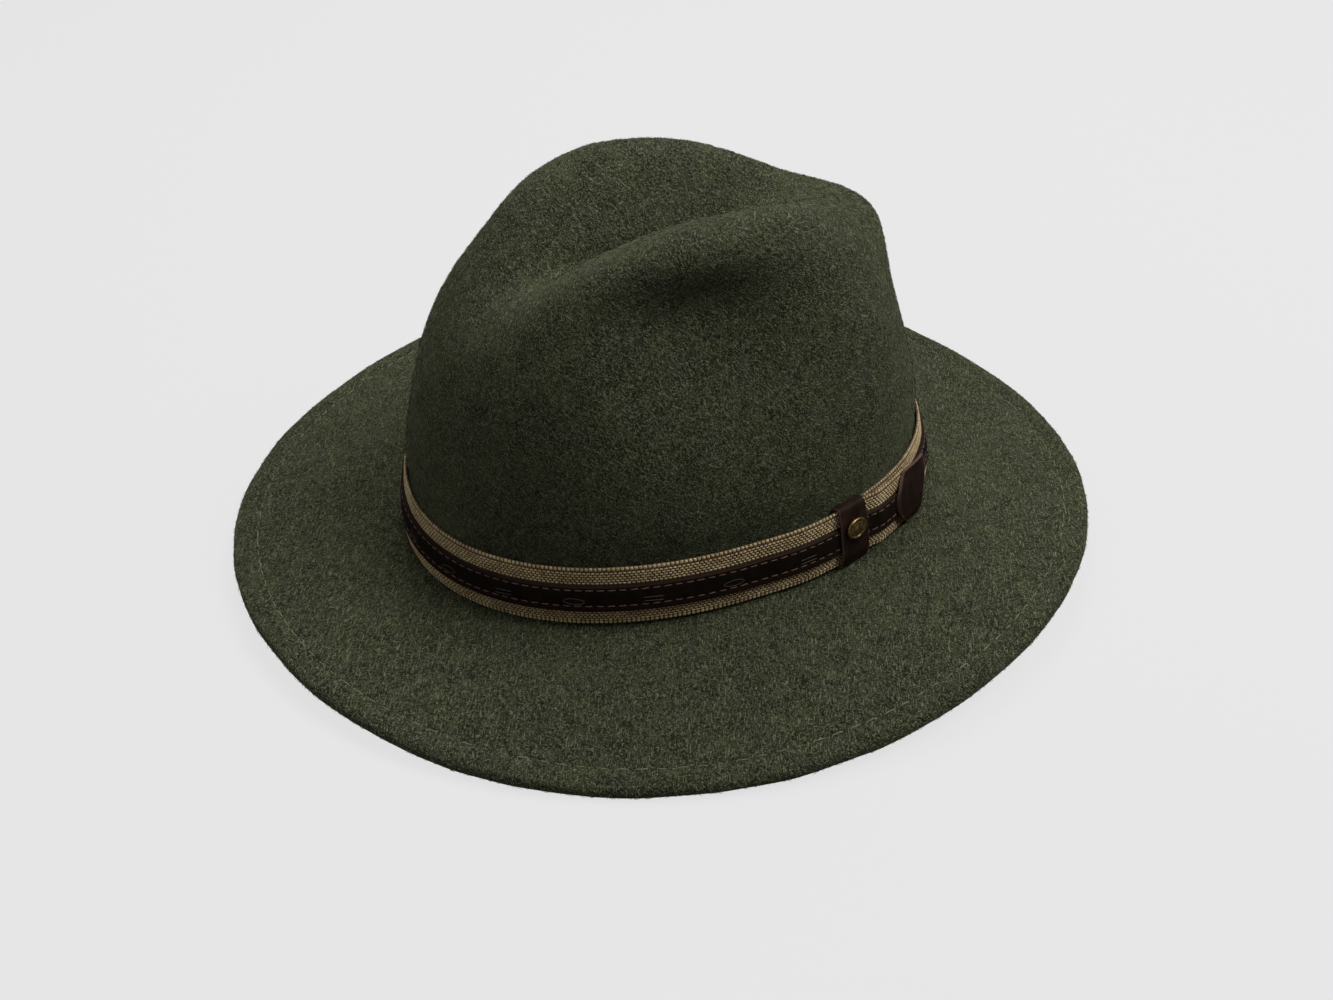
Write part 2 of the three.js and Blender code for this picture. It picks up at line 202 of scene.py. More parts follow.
@dataclass(frozen=True)
class HatForm:
    """Shape of the felt: head oval, crown block with its dents, and brim."""

    felt: float = 2.6
    half_width: float = 86.9
    half_length: float = 102.7
    behind_brim_centre: float = 3.2
    break_height: float = 11.5
    break_waves: tuple[Wave, ...] = (Wave(1, 0.2), Wave(2, -3.2))
    welt: float = 4.6
    brim_width: float = 66.4
    brim_width_waves: tuple[Wave, ...] = (Wave(1, 2.8), Wave(2, -6.1), Wave(3, 0.4))
    edge_height: float = 5.6
    edge_waves: tuple[Wave, ...] = (Wave(1, -0.7, 1.2), Wave(2, -0.6, -1.1), Wave(3, 3.2, -0.1))
    brim_drop: float = 1.5
    brim_ease: float = 1.3
    crown_height: float = 126
    forward_slope: float = 0.072
    arch_over_100: float = 0.104
    taper: float = 0.069
    side_roundness: float = 3.5
    top_roundness: float = 2.34
    back_side_roundness: float = 0.6
    back_top_roundness: float = 0.15
    head_power: float = 2.01
    tip_power: float = 1.88
    crease: Crease = Crease()
    pinch: SidePinch = SidePinch()
    dip_depth: float = 3.6
    dip_half_width: float = 34.8
    dip_centre_y: float = -82.1
    dip_reach: float = 22
    corner: SoftBump = SoftBump(36.7, 80.4, 90.3, 13.9)
    corner_out: float = 9.7
    corner_up: float = 3.8
    hollow: SoftBump = SoftBump(60, 95, 55, 25)
    hollow_depth: float = 1.2
    cinch: float = 1.1
    cinch_full_at: float = 20
    cinch_eases: tuple[float, float] = (22.2, 31)

    def place(self, points: Array) -> Array:
        """Points of the hat's own frame as metres in the frame that stands on the floor."""
        return (points + np.array([0, self.behind_brim_centre, self.break_height])) * MM

    def break_z(self, angle: Array) -> Array:
        """Height of the line where crown and brim meet."""
        return sum(wave.at(angle) for wave in self.break_waves)

    def oval(self, angle: Array, scale: Array | float = 1.0, power: Array | float | None = None) -> Array:
        """Horizontal points on the head oval.

        Args:
            angle: Angles round the hat.
            scale: Size as a share of the head oval.
            power: Squareness of the oval, the head's own if none is given.

        Returns:
            Points (x, y) along a new last axis.
        """
        power = self.head_power if power is None else power
        across = np.sin(np.radians(angle))
        along = -np.cos(np.radians(angle))
        size = (np.abs(across) ** power + np.abs(along) ** power) ** (-1 / power) * scale
        return np.stack([self.half_width * across * size, self.half_length * along * size], -1)

    def outward(self, angle: Array) -> Array:
        """Horizontal unit directions straight out of the head oval.

        Args:
            angle: Angles round the hat.

        Returns:
            Directions (x, y) along a new last axis.
        """
        across = np.sin(np.radians(angle)) * self.half_length
        along = -np.cos(np.radians(angle)) * self.half_width
        return unit(np.stack([across, along], -1))

    def roundness(self, angle: Array) -> tuple[Array, Array]:
        """Roundness of the crown block, which grows a little towards its back.

        Args:
            angle: Angles round the hat.

        Returns:
            Roundness of its side and of its top at each angle.
        """
        back = np.maximum(-np.cos(np.radians(angle)), 0) ** 2
        side = self.side_roundness + self.back_side_roundness * back
        return side, self.top_roundness + self.back_top_roundness * back

    def block_height(self, y: Array) -> Array:
        """Height of the undented block above the break at a place along the hat."""
        along = y / 100
        return self.crown_height * (1 - self.forward_slope * along - self.arch_over_100 * along ** 2)

    def crown(self, angle: Array, radius_share: Array, height_share: Array) -> Array:
        """Points on the outside of the crown.

        Args:
            angle: Angles round the hat.
            radius_share: Distance from the middle as a share of the oval.
            height_share: Height as a share of the block's.

        Returns:
            Points (x, y, z) along a new last axis.
        """
        power = self.head_power + (self.tip_power - self.head_power) * height_share
        flat = self.oval(angle, radius_share * (1 - self.taper * height_share), power)
        x, y = flat[..., 0], flat[..., 1]
        z = height_share * self.block_height(y) + self.break_z(angle) * (1 - height_share)
        z = z - self.crease.depth_at(x, y) * height_share
        dip = bell(x, self.dip_half_width) * bell(y - self.dip_centre_y, self.dip_reach)
        z = z - self.dip_depth * dip * height_share ** 2
        x = x - self.pinch.shift_at(x, y, z)
        corner = self.corner.at(x, y, z)
        hollow = self.hollow.at(x, y, z)
        y = y + self.corner_out * corner - self.hollow_depth * hollow
        return np.stack([x, y, z + self.corner_up * corner], -1)

    def squeeze(self, rise: Array) -> Array:
        """How far the band draws the wall in at a height above the break."""
        eased = 1 - smoothstep(rise, *self.cinch_eases)
        return self.cinch * smoothstep(rise, 0, self.cinch_full_at) * eased

    def wall(self, angle: Array, rise: Array, out: Array) -> Array:
        """Points beside the lower wall.

        Args:
            angle: Angles round the hat.
            rise: Heights above the break.
            out: Distances out from the felt's face.

        Returns:
            Points (x, y, z) along a new last axis.
        """
        angle, rise, out = np.broadcast_arrays(angle, rise, out)
        side, top = self.roundness(angle)
        share = rise / (self.block_height(self.oval(angle)[..., 1]) - self.break_z(angle))
        radius = (1 - np.maximum(share, 0) ** top) ** (1 / side) * (1 - self.taper * share)
        flat = self.oval(angle, radius) + self.outward(angle) * (out - self.squeeze(rise))[..., None]
        return np.concatenate([flat, (self.break_z(angle) + rise)[..., None]], -1)

    def brim_span(self, angle: Array) -> Array:
        """Width of the brim from the head oval to its edge."""
        return self.brim_width + sum(wave.at(angle) for wave in self.brim_width_waves)

    def brim(self, angle: Array, inset: Array, drop: Array) -> Array:
        """Points on the brim.

        Args:
            angle: Angles round the hat.
            inset: Distances in from the brim's edge.
            drop: Distances below the brim's upper face.

        Returns:
            Points (x, y, z) along a new last axis.
        """
        angle, inset, drop = np.broadcast_arrays(angle, inset, drop)
        span = self.brim_span(angle)
        share = 1 - inset / span
        inner = self.break_z(angle) - self.brim_drop
        edge = self.edge_height - self.break_height + sum(wave.at(angle) for wave in self.edge_waves)
        climb = (edge + self.welt / 2 - inner) * (1 - (1 - share) ** self.brim_ease)
        flat = self.oval(angle) + self.outward(angle) * (span * share)[..., None]
        return np.concatenate([flat, (inner + climb - drop)[..., None]], -1)


class Slot(Enum):
    """Material slots of the record."""

    FELT = "felt"
    WEBBING = "webbing"
    LEATHER = "leather"
    BRASS = "brass"


def skin_faces(rings: int, around: int, closed: bool = True) -> Array:
    """Quads of a skin over rings of points.

    Args:
        rings: How many rings there are.
        around: How many points each ring has.
        closed: Whether the last point of a ring joins its first.

    Returns:
        Vertex numbers, four in a row.
    """
    start = np.arange(rings - 1)[:, None] * around
    here = np.arange(around if closed else around - 1)[None]
    there = (here + 1) % around
    corners = [start + here, start + around + here, start + around + there, start + there]
    return np.stack(corners, -1).reshape(-1, 4)


def facing_in(faces: Faces, step: int) -> list[list[int]]:
    """Faces of a second skin that looks the other way, numbered a step further on."""
    return [[corner + step for corner in face][::-1] for face in faces]


def capped_faces(rings: int, around: int) -> list[list[int]]:
    """Faces of a round piece that has a point before its first ring and one after its last.

    Args:
        rings: How many rings there are.
        around: How many points each ring has.

    Returns:
        Vertex numbers of each face.
    """
    last = (rings - 1) * around + 1
    first_cap = [[0, 1 + (k + 1) % around, 1 + k] for k in range(around)]
    last_cap = [[last + around, last + k, last + (k + 1) % around] for k in range(around)]
    return first_cap + facing_in(skin_faces(rings, around).tolist(), 1) + last_cap


def ladder_faces(first: int, around: int) -> list[tuple[int, ...]]:
    """Quads that close the end of a flat section whose two faces have as many points."""
    last = first + around - 1
    return [(first + k, first + k + 1, last - k - 1, last - k) for k in range(around // 2 - 1)]


def mesh_from(name: str, points: Array, faces: Faces) -> bpy.types.Mesh:
    """Smooth closed mesh whose faces point outwards.

    Args:
        name: Name of the mesh.
        points: Vertices in metres.
        faces: Vertex numbers of each face, wound alike.

    Returns:
        The mesh.
    """
    fans = [(face[0], face[k], face[k + 1]) for face in faces for k in range(1, len(face) - 1)]
    corners = points.reshape(-1, 3)[np.array(fans)]
    volume = np.einsum("ij,ij->", corners[:, 0], np.cross(corners[:, 1], corners[:, 2]))
    wound = [tuple(face)[::-1] for face in faces] if volume < 0 else [tuple(face) for face in faces]
    mesh = bpy.data.meshes.new(name)
    mesh.from_pydata(points.reshape(-1, 3).tolist(), [], wound)
    mesh.validate()
    mesh.shade_smooth()
    return mesh


def paint_attribute(mesh: bpy.types.Mesh, name: str, values: Array) -> None:
    """Gives each vertex of a mesh a value that its material or a tree can read."""
    attribute = mesh.attributes.new(name, "FLOAT", "POINT")
    attribute.data.foreach_set("value", values.astype(np.float32))


def swept(name: str, sections: Array) -> bpy.types.Mesh:
    """Closed mesh swept through flat sections.

    Args:
        name: Name of the mesh.
        sections: Points in metres of each section in turn, up one face and down the other.

    Returns:
        The mesh.
    """
    count, around = sections.shape[:2]
    faces = skin_faces(count, around).tolist()
    faces += [face[::-1] for face in ladder_faces(0, around)]
    faces += ladder_faces((count - 1) * around, around)
    return mesh_from(name, sections, faces)


def finish_piece(
    name: str,
    mesh: bpy.types.Mesh,
    material: bpy.types.Material,
    replaces: Sequence[str] = (),
) -> bpy.types.Object:
    """Puts a finished mesh on the hat.

    Args:
        name: Name of the piece.
        mesh: Its mesh, in metres where it belongs.
        material: Its only material.
        replaces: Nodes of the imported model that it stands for.

    Returns:
        The piece's object.
    """
    piece = bpy.data.objects.new(name, mesh)
    bpy.context.scene.collection.objects.link(piece)
    mesh.materials.clear()
    mesh.materials.append(material)
    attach(piece, "root")
    if replaces:
        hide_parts(*replaces)
    triangles = sum(len(face.vertices) - 2 for face in mesh.polygons)
    log.info("%s: %d triangles", name, triangles)
    return piece


def evaluated_mesh(source: bpy.types.Object) -> bpy.types.Mesh:
    """Plain mesh of an object with its modifiers applied."""
    graph = bpy.context.evaluated_depsgraph_get()
    return bpy.data.meshes.new_from_object(source.evaluated_get(graph), depsgraph=graph)


def bevelled(mesh: bpy.types.Mesh, width: float) -> bpy.types.Mesh:
    """Mesh with its sharp edges rounded.

    Args:
        mesh: The mesh, in metres.
        width: Width of the rounding in millimetres.

    Returns:
        A new mesh.
    """
    draft = bpy.data.objects.new("draft", mesh)
    bpy.context.scene.collection.objects.link(draft)
    bevel = draft.modifiers.new("bevel", "BEVEL")
    bevel.width = width * MM
    bevel.segments = 2
    bevel.limit_method = "ANGLE"
    bevel.angle_limit = math.radians(SHARP_ANGLE)
    result = evaluated_mesh(draft)
    bpy.data.objects.remove(draft)
    result.shade_smooth()
    return result


class NodeMaker:
    """Makes nodes in any node tree, by type, settings and sockets."""

    def __init__(self, tree: bpy.types.NodeTree) -> None:
        """Takes the tree that the nodes go into."""
        self.tree = tree

    def node(self, kind: str, settings: dict | None = None, sockets: dict | None = None) -> bpy.types.Node:
        """Adds one node.

        Args:
            kind: The node's type.
            settings: Its properties, set first.
            sockets: A value or a source for each input, by identifier, name or number.

        Returns:
            The node.
        """
        made = self.tree.nodes.new(kind)
        for key, value in (settings or {}).items():
            setattr(made, key, value)
        for key, value in (sockets or {}).items():
            target = self.input(made, key)
            source = value.socket if isinstance(value, Signal) else value
            if isinstance(source, bpy.types.NodeSocket):
                self.tree.links.new(source, target)
            else:
                target.default_value = source
        return made

    @staticmethod
    def input(made: bpy.types.Node, key: str | int) -> bpy.types.NodeSocket:
        """Input socket of a node.

        Args:
            made: The node.
            key: The socket's identifier, name or number.

        Returns:
            The socket.
        """
        named = [socket for socket in made.inputs if socket.identifier == key]
        return named[0] if named else made.inputs[key]

    def math(self, operation: str, *values: "Signal | float", use_clamp: bool = False) -> "Signal":
        """Result of a Math node on values."""
        settings = {"operation": operation, "use_clamp": use_clamp}
        return Signal(self, self.node("ShaderNodeMath", settings, dict(enumerate(values))).outputs[0])

    def axes(self, **parts: "Signal | float") -> "Signal":
        """Vector from its X, Y and Z parts, 0 where one is left out."""
        return Signal(self, self.node("ShaderNodeCombineXYZ", None, parts).outputs[0])


class Signal:
    """Output of a node, which can stand in a Python expression."""

    def __init__(self, maker: NodeMaker, socket: bpy.types.NodeSocket) -> None:
        """Wraps one output socket."""
        self.maker = maker
        self.socket = socket

    def __add__(self, other: "Signal | float") -> "Signal":
        """Sum of two values."""
        return self.maker.math("ADD", self, other)

    def __radd__(self, other: float) -> "Signal":
        """Sum with a number in front."""
        return self.maker.math("ADD", other, self)

    def __sub__(self, other: "Signal | float") -> "Signal":
        """Difference of two values."""
        return self.maker.math("SUBTRACT", self, other)

    def __rsub__(self, other: float) -> "Signal":
        """Difference from a number in front."""
        return self.maker.math("SUBTRACT", other, self)

    def __mul__(self, other: "Signal | float") -> "Signal":
        """Product of two values."""
        return self.maker.math("MULTIPLY", self, other)

    def __rmul__(self, other: float) -> "Signal":
        """Product with a number in front."""
        return self.maker.math("MULTIPLY", other, self)

    def limited(self) -> "Signal":
        """Value held between 0 and 1."""
        return self.maker.math("MULTIPLY", self, 1.0, use_clamp=True)

    def ramp(self, low: float, high: float) -> "Signal":
        """Smooth climb between two values.

        Args:
            low: Where it leaves 0.
            high: Where it reaches 1.

        Returns:
            The climb, from 0 to 1.
        """
        settings = {"interpolation_type": "SMOOTHSTEP"}
        sockets = {"Value": self, "From Min": low, "From Max": high}
        return Signal(self.maker, self.maker.node("ShaderNodeMapRange", settings, sockets).outputs[0])


class Shader(NodeMaker):
    """One material under construction."""

    def __init__(self, name: str) -> None:
        """Makes an empty material.

        Args:
            name: Name of the material.
        """
        self.material = bpy.data.materials.new(name)
        self.material.use_nodes = True
        super().__init__(self.material.node_tree)
        self.tree.nodes.clear()
        coordinates = self.node("ShaderNodeTexCoord").outputs["Object"]
        scaled = self.node("ShaderNodeVectorMath", {"operation": "SCALE"}, {0: coordinates, "Scale": 1 / MM})
        self.millimetres = Signal(self, scaled.outputs["Vector"])

    def noise(
        self,
        size: float,
        detail: float = 2,
        roughness: float = 0.5,
        at: Signal | None = None,
    ) -> Signal:
        """Noise from 0 to 1.

        Args:
            size: Rough width of its lumps in millimetres.
            detail: How many finer layers it has.
            roughness: How strong the finer layers are.
            at: Coordinates, the place on the piece in millimetres if none are given.

        Returns:
            The noise's value.
        """
        place = at or self.millimetres
        sockets = {"Vector": place, "Scale": 1 / size, "Detail": detail, "Roughness": roughness}
        return Signal(self, self.node("ShaderNodeTexNoise", None, sockets).outputs["Fac"])

    def attribute(self, name: str) -> Signal:
        """Value that the piece's vertices hold under a name."""
        made = self.node("ShaderNodeAttribute", {"attribute_type": "GEOMETRY", "attribute_name": name})
        return Signal(self, made.outputs["Fac"])

    def turned(self, turn: Turn, stretch: float) -> Signal:
        """Coordinates for a pattern that runs in its own direction.

        Args:
            turn: Degrees of turn about X, Y and Z.
            stretch: How far the pattern is drawn out along its own X.

        Returns:
            The coordinates in millimetres.
        """
        sockets = {"Vector": self.millimetres, "Rotation": Euler([math.radians(part) for part in turn])}
        rotated = self.node("ShaderNodeMapping", None, sockets)
        sockets = {"Vector": rotated.outputs[0], "Scale": (1 / stretch, 1, 1)}
        return Signal(self, self.node("ShaderNodeMapping", None, sockets).outputs[0])

    def blend(self, factor: Signal, first: Signal | Colour, second: Signal | Colour) -> Signal:
        """Colour between two colours.

        Args:
            factor: Share of the second colour.
            first: The colour at 0.
            second: The colour at 1.

        Returns:
            The mixed colour.
        """
        sides = [(*side, 1.0) if isinstance(side, tuple) else side for side in (first, second)]
        sockets = {"Factor_Float": factor, "A_Color": sides[0], "B_Color": sides[1]}
        made = self.node("ShaderNodeMix", {"data_type": "RGBA"}, sockets)
        return Signal(self, next(socket for socket in made.outputs if socket.identifier == "Result_Color"))

    def bump(self, height: Signal, depth: float, strength: float = 1.0) -> Signal:
        """Normal of a surface with a relief.

        Args:
            height: The relief, from 0 to 1.
            depth: Height of the relief in millimetres.
            strength: Strength of the effect.

        Returns:
            The normal.
        """
        sockets = {"Height": height, "Distance": depth * MM, "Strength": strength}
        return Signal(self, self.node("ShaderNodeBump", None, sockets).outputs[0])

    def surface(self, sockets: dict) -> bpy.types.Material:
        """Ends the material in a principled surface.

        Args:
            sockets: A value or a signal for each of its sockets, by name.

        Returns:
            The material.
        """
        surface = self.node("ShaderNodeBsdfPrincipled", None, sockets)
        self.node("ShaderNodeOutputMaterial", None, {"Surface": surface.outputs[0]})
        return self.material


@dataclass(frozen=True)
class FeltFinish:
    """Dark green wool felt with lighter and darker hairs pressed into it."""

    deep: Colour = (0.0052, 0.0058, 0.0028)
    body: Colour = (0.0560, 0.0605, 0.0278)
    grey: Colour = (0.0445, 0.0518, 0.0320)
    pale: Colour = (0.2500, 0.2640, 0.1600)
    broad_size: float = 34
    broad_strength: float = 0.5
    blotch_size: float = 6.5
    blotch_strength: float = 1.2
    grain_size: float = 1.0
    grain_strength: float = 3.7
    hue_size: float = 11
    pale_turns: tuple[Turn, ...] = ((0, 0, 35), (20, 50, 80), (70, 15, -40))
    pale_ramps: tuple[tuple[float, float], ...] = ((0.56, 0.72), (0.56, 0.72), (0.58, 0.74))
    pale_strength: float = 0.6
    dark_turn: Turn = (-35, -60, 10)
    dark_ramp: tuple[float, float] = (0.58, 0.75)
    dark_strength: float = 0.6
    hair_width: float = 0.42
    hair_stretch: float = 7.5
    relief_depth: float = 0.35

    def hairs(self, shader: Shader, turn: Turn, limits: tuple[float, float]) -> Signal:
        """Hairs that lie one way in the felt.

        Args:
            shader: The material under construction.
            turn: Degrees of turn of their way about X, Y and Z.
            limits: Noise values between which a hair fades in.

        Returns:
            Their strength at each place, from 0 to 1.
        """
        way = shader.turned(turn, self.hair_stretch)
        return shader.noise(self.hair_width, detail=1, at=way).ramp(*limits)

    def build(self) -> bpy.types.Material:
        """Makes the material.

        Returns:
            The material.
        """
        shader = Shader("wool_felt")
        broad = (shader.noise(self.broad_size) - 0.5) * self.broad_strength
        blotch = (shader.noise(self.blotch_size, detail=3, roughness=0.55) - 0.5) * self.blotch_strength
        grain = shader.noise(self.grain_size, detail=4, roughness=0.7)
        tone = 0.5 + broad + blotch + (grain - 0.5) * self.grain_strength
        hue = shader.noise(self.hue_size).ramp(0.4, 0.62)
        base = shader.blend(tone.ramp(0.05, 0.95), self.deep, shader.blend(hue, self.body, self.grey))
        first, second, third = (self.hairs(shader, *way) for way in zip(self.pale_turns, self.pale_ramps))
        pale_hair = first + second + third
        flecked = shader.blend((pale_hair * self.pale_strength).limited(), base, self.pale)
        dark_hair = self.hairs(shader, self.dark_turn, self.dark_ramp) * self.dark_strength
        colour = shader.blend(dark_hair, flecked, self.deep)
        relief = grain * 0.6 + pale_hair * 0.35
        return shader.surface({
            "Base Color": colour,
            "Roughness": 0.97,
            "Specular IOR Level": 0.12,
            "Sheen Weight": 0.25,
            "Sheen Roughness": 0.6,
            "Sheen Tint": (0.45, 0.5, 0.28, 1),
            "Normal": shader.bump(relief, self.relief_depth, strength=0.8),
        })


@dataclass(frozen=True)
class HairFinish:
    """Loose wool hair of one shade."""

    name: str
    colour: Colour

    def build(self) -> bpy.types.Material:
        """Makes the material."""
        sockets = {"Base Color": (*self.colour, 1), "Roughness": 0.85, "Specular IOR Level": 0.2}
        return Shader(self.name).surface(sockets)


@dataclass(frozen=True)
class WebbingFinish:
    """Tan cotton webbing. Its ground is darker than the threads on top, partly as painted shade in the gaps
    between them.
    """

    name: str
    shade: Colour
    light: Colour
    blush: Colour = (0.30, 0.18, 0.11)
    blush_strength: float = 0.15

    def build(self) -> bpy.types.Material:
        """Makes the material.

        Returns:
            The material.
        """
        shader = Shader(self.name)
        speck = shader.noise(0.9, roughness=0.6)
        patch = shader.noise(9)
        colour = shader.blend((speck * 0.8 + patch * 0.4).ramp(0.35, 0.85), self.shade, self.light)
        blush = shader.noise(2.3, detail=1).ramp(0.55, 0.8) * self.blush_strength
        colour = shader.blend(blush, colour, self.blush)
        return shader.surface({
            "Base Color": colour,
            "Roughness": 0.85,
            "Specular IOR Level": 0.25,
            "Sheen Weight": 0.15,
            "Normal": shader.bump(shader.noise(0.28), depth=0.08, strength=0.6),
        })


@dataclass(frozen=True)
class LeatherFinish:
    """Dark brown leather with a fine grain, which changes colour at its edges."""

    name: str
    shade: Colour
    light: Colour
    edge: Colour
    roughness: float
    grain: float = 0.05

    def build(self) -> bpy.types.Material:
        """Makes the material.

        Returns:
            The material.
        """
        shader = Shader(self.name)
        cloud = shader.noise(5, detail=3, roughness=0.6)
        pores = shader.noise(0.45, detail=3, roughness=0.6)
        colour = shader.blend(cloud.ramp(0.3, 0.75), self.shade, self.light)
        colour = shader.blend(shader.attribute("edge") * (0.6 + cloud * 0.5), colour, self.edge)
        return shader.surface({
            "Base Color": colour,
            "Roughness": self.roughness + pores * 0.25,
            "Specular IOR Level": 0.15,
            "Normal": shader.bump(pores, self.grain, strength=0.7),
        })


@dataclass(frozen=True)
class ThreadFinish:
    """Sewing thread with its twist."""

    name: str
    shade: Colour
    light: Colour

    def build(self) -> bpy.types.Material:
        """Makes the material.

        Returns:
            The material.
        """
        shader = Shader(self.name)
        twist = shader.noise(0.35)
        colour = shader.blend(twist.ramp(0.3, 0.7), self.shade, self.light)
        return shader.surface({
            "Base Color": colour,
            "Roughness": 0.7,
            "Specular IOR Level": 0.3,
            "Normal": shader.bump(twist, depth=0.05, strength=0.5),
        })


@dataclass(frozen=True)
class BrassFinish:
    """Old brass, tarnished darker in patches."""

    bright: Colour = (0.46, 0.31, 0.14)
    tarnish: Colour = (0.055, 0.036, 0.018)

    def build(self) -> bpy.types.Material:
        """Makes the material.

        Returns:
            The material.
        """
        shader = Shader("old_brass")
        cloud = shader.noise(1.3, detail=3, roughness=0.6)
        colour = shader.blend(cloud.ramp(0.35, 0.75), self.bright, self.tarnish)
        return shader.surface({
            "Base Color": colour,
            "Metallic": 1.0,
            "Roughness": 0.25 + cloud * 0.3,
            "Normal": shader.bump(shader.noise(0.5), depth=0.04, strength=0.5),
        })


class Kind(Enum):
    """Kinds of input that a Geometry Nodes tree has."""

    GEOMETRY = "NodeSocketGeometry"
    OBJECT = "NodeSocketObject"
    MATERIAL = "NodeSocketMaterial"
    WHOLE = "NodeSocketInt"
    NUMBER = "NodeSocketFloat"


class GeometryTree(NodeMaker):
    """Geometry Nodes tree with named inputs, which turns one mesh into another."""

    def __init__(self, name: str, inputs: dict[str, Kind]) -> None:
        """Makes a tree that takes a mesh, its own inputs, a seed and a material.

        Args:
            name: Name of the tree.
            inputs: Its own inputs.
        """
        group = bpy.data.node_groups.new(name, "GeometryNodeTree")
        super().__init__(group)
        kinds = {"Geometry": Kind.GEOMETRY, **inputs, "Seed": Kind.WHOLE, "Material": Kind.MATERIAL}
        self.identifiers = {}
        for label, kind in kinds.items():
            made = group.interface.new_socket(label, in_out="INPUT", socket_type=kind.value)
            self.identifiers[label] = made.identifier
        group.interface.new_socket("Geometry", in_out="OUTPUT", socket_type=Kind.GEOMETRY.value)
        sources = self.node("NodeGroupInput").outputs
        self.given = {label: Signal(self, sources[label]) for label in kinds}

    def attribute(self, name: str, kind: str) -> Signal:
        """Value that the mesh holds under a name."""
        made = self.node("GeometryNodeInputNamedAttribute", {"data_type": kind}, {"Name": name})
        return Signal(self, made.outputs[0])

    def random(self, low: Signal | float, high: Signal | float, seed: Signal | None = None) -> Signal:
        """Random value between two, the tree's own seed used if none is given."""
        sockets = {"Min_001": low, "Max_001": high, "Seed": seed or self.given["Seed"]}
        return Signal(self, self.node("FunctionNodeRandomValue", {"data_type": "FLOAT"}, sockets).outputs[1])

    def turned(self, rotation: bpy.types.NodeSocket | Signal, **turns: Signal) -> Signal:
        """Rotation turned further about its own axes.

        Args:
            rotation: The rotation.
            turns: How far it is turned about X, Y and Z.

        Returns:
            The new rotation.
        """
        sockets = {"Rotation": rotation, "Rotate By": self.axes(**turns)}
        made = self.node("FunctionNodeRotateRotation", {"rotation_space": "LOCAL"}, sockets)
        return Signal(self, made.outputs[0])

    def end(self, points: bpy.types.NodeSocket, piece: str, rotation: Signal, scale: Signal) -> None:
        """Ends the tree: a copy of a small piece on each point, made real and given the material.

        Args:
            points: The points.
            piece: Name of the input that holds the piece.
            rotation: Rotation of each copy.
            scale: Size of each copy.
        """
        source = self.node("GeometryNodeObjectInfo", None, {"Object": self.given[piece]})
        copies = self.node("GeometryNodeInstanceOnPoints", None, {
            "Points": points,
            "Instance": source.outputs["Geometry"],
            "Rotation": rotation,
            "Scale": scale,
        })
        real = self.node("GeometryNodeRealizeInstances", None, {"Geometry": copies.outputs[0]})
        sockets = {"Geometry": real.outputs[0], "Material": self.given["Material"]}
        dressed = self.node("GeometryNodeSetMaterial", None, sockets)
        self.node("NodeGroupOutput", None, {0: dressed.outputs[0]})

    def run(self, mesh: bpy.types.Mesh, values: dict[str, object]) -> bpy.types.Mesh:
        """Puts a mesh through the tree.

        Args:
            mesh: The mesh that goes in.
            values: A value for each named input.

        Returns:
            The plain mesh that comes out.
        """
        draft = bpy.data.objects.new("draft", mesh)
        modifier = draft.modifiers.new("nodes", "NODES")
        modifier.node_group = self.tree
        for name, value in values.items():
            modifier[self.identifiers[name]] = value
        bpy.context.scene.collection.objects.link(draft)
        result = evaluated_mesh(draft)
        draft.modifiers.remove(modifier)
        bpy.data.objects.remove(draft)
        result.shade_smooth()
        return result


def row_tree() -> GeometryTree:
    """Makes the tree that sets a copy of one small piece at even steps along each line of a mesh.

    Returns:
        The tree.
    """
    tree = GeometryTree("rows_along_lines", {
        "Piece": Kind.OBJECT,
        "Count": Kind.WHOLE,
        "Sway": Kind.NUMBER,
        "Size change": Kind.NUMBER,
    })
    given = tree.given
    lines = tree.node("GeometryNodeMeshToCurve", None, {"Mesh": given["Geometry"]})
    sockets = {"Curve": lines.outputs[0], "Count": given["Count"]}
    points = tree.node("GeometryNodeResampleCurve", None, sockets)
    along = tree.node("GeometryNodeInputTangent")
    sockets = {0: tree.attribute("out", "FLOAT_VECTOR"), 1: along.outputs[0]}
    settings = {"primary_axis": "Z", "secondary_axis": "X"}
    facing = tree.node("FunctionNodeAxesToRotation", settings, sockets)
    sway = tree.random(given["Sway"] * -1.0, given["Sway"])
    size = tree.random(1.0 - given["Size change"], 1.0 + given["Size change"])
    tree.end(points.outputs[0], "Piece", tree.turned(facing.outputs[0], Z=sway), size)
    return tree


def nap_tree() -> GeometryTree:
    """Makes the tree that lays short hairs on the faces of a mesh, as many as its nap asks for.

    Returns:
        The tree.
    """
    tree = GeometryTree("hairs_on_faces", {
        "Hair": Kind.OBJECT,
        "Density": Kind.NUMBER,
        "Lift": Kind.NUMBER,
        "Shortest": Kind.NUMBER,
        "Longest": Kind.NUMBER,
    })
    given = tree.given
    wanted = tree.attribute("nap", "FLOAT") * given["Density"]
    sockets = {"Mesh": given["Geometry"], "Density": wanted, "Seed": given["Seed"]}
    points = tree.node("GeometryNodeDistributePointsOnFaces", {"distribute_method": "RANDOM"}, sockets)
    flat = tree.turned(points.outputs["Rotation"], Z=tree.random(0.0, math.tau))
    lift = tree.random(0.0, given["Lift"], given["Seed"] + 7.0)
    lifted = tree.turned(flat, Y=lift * -1.0)
    length = tree.random(given["Shortest"], given["Longest"])
    tree.end(points.outputs["Points"], "Hair", lifted, tree.axes(X=length, Y=1.0, Z=1.0))
    return tree


@dataclass(frozen=True)
class Row:
    """Row that small pieces follow: its points in metres, and the direction out at each."""

    points: Array
    outward: Array


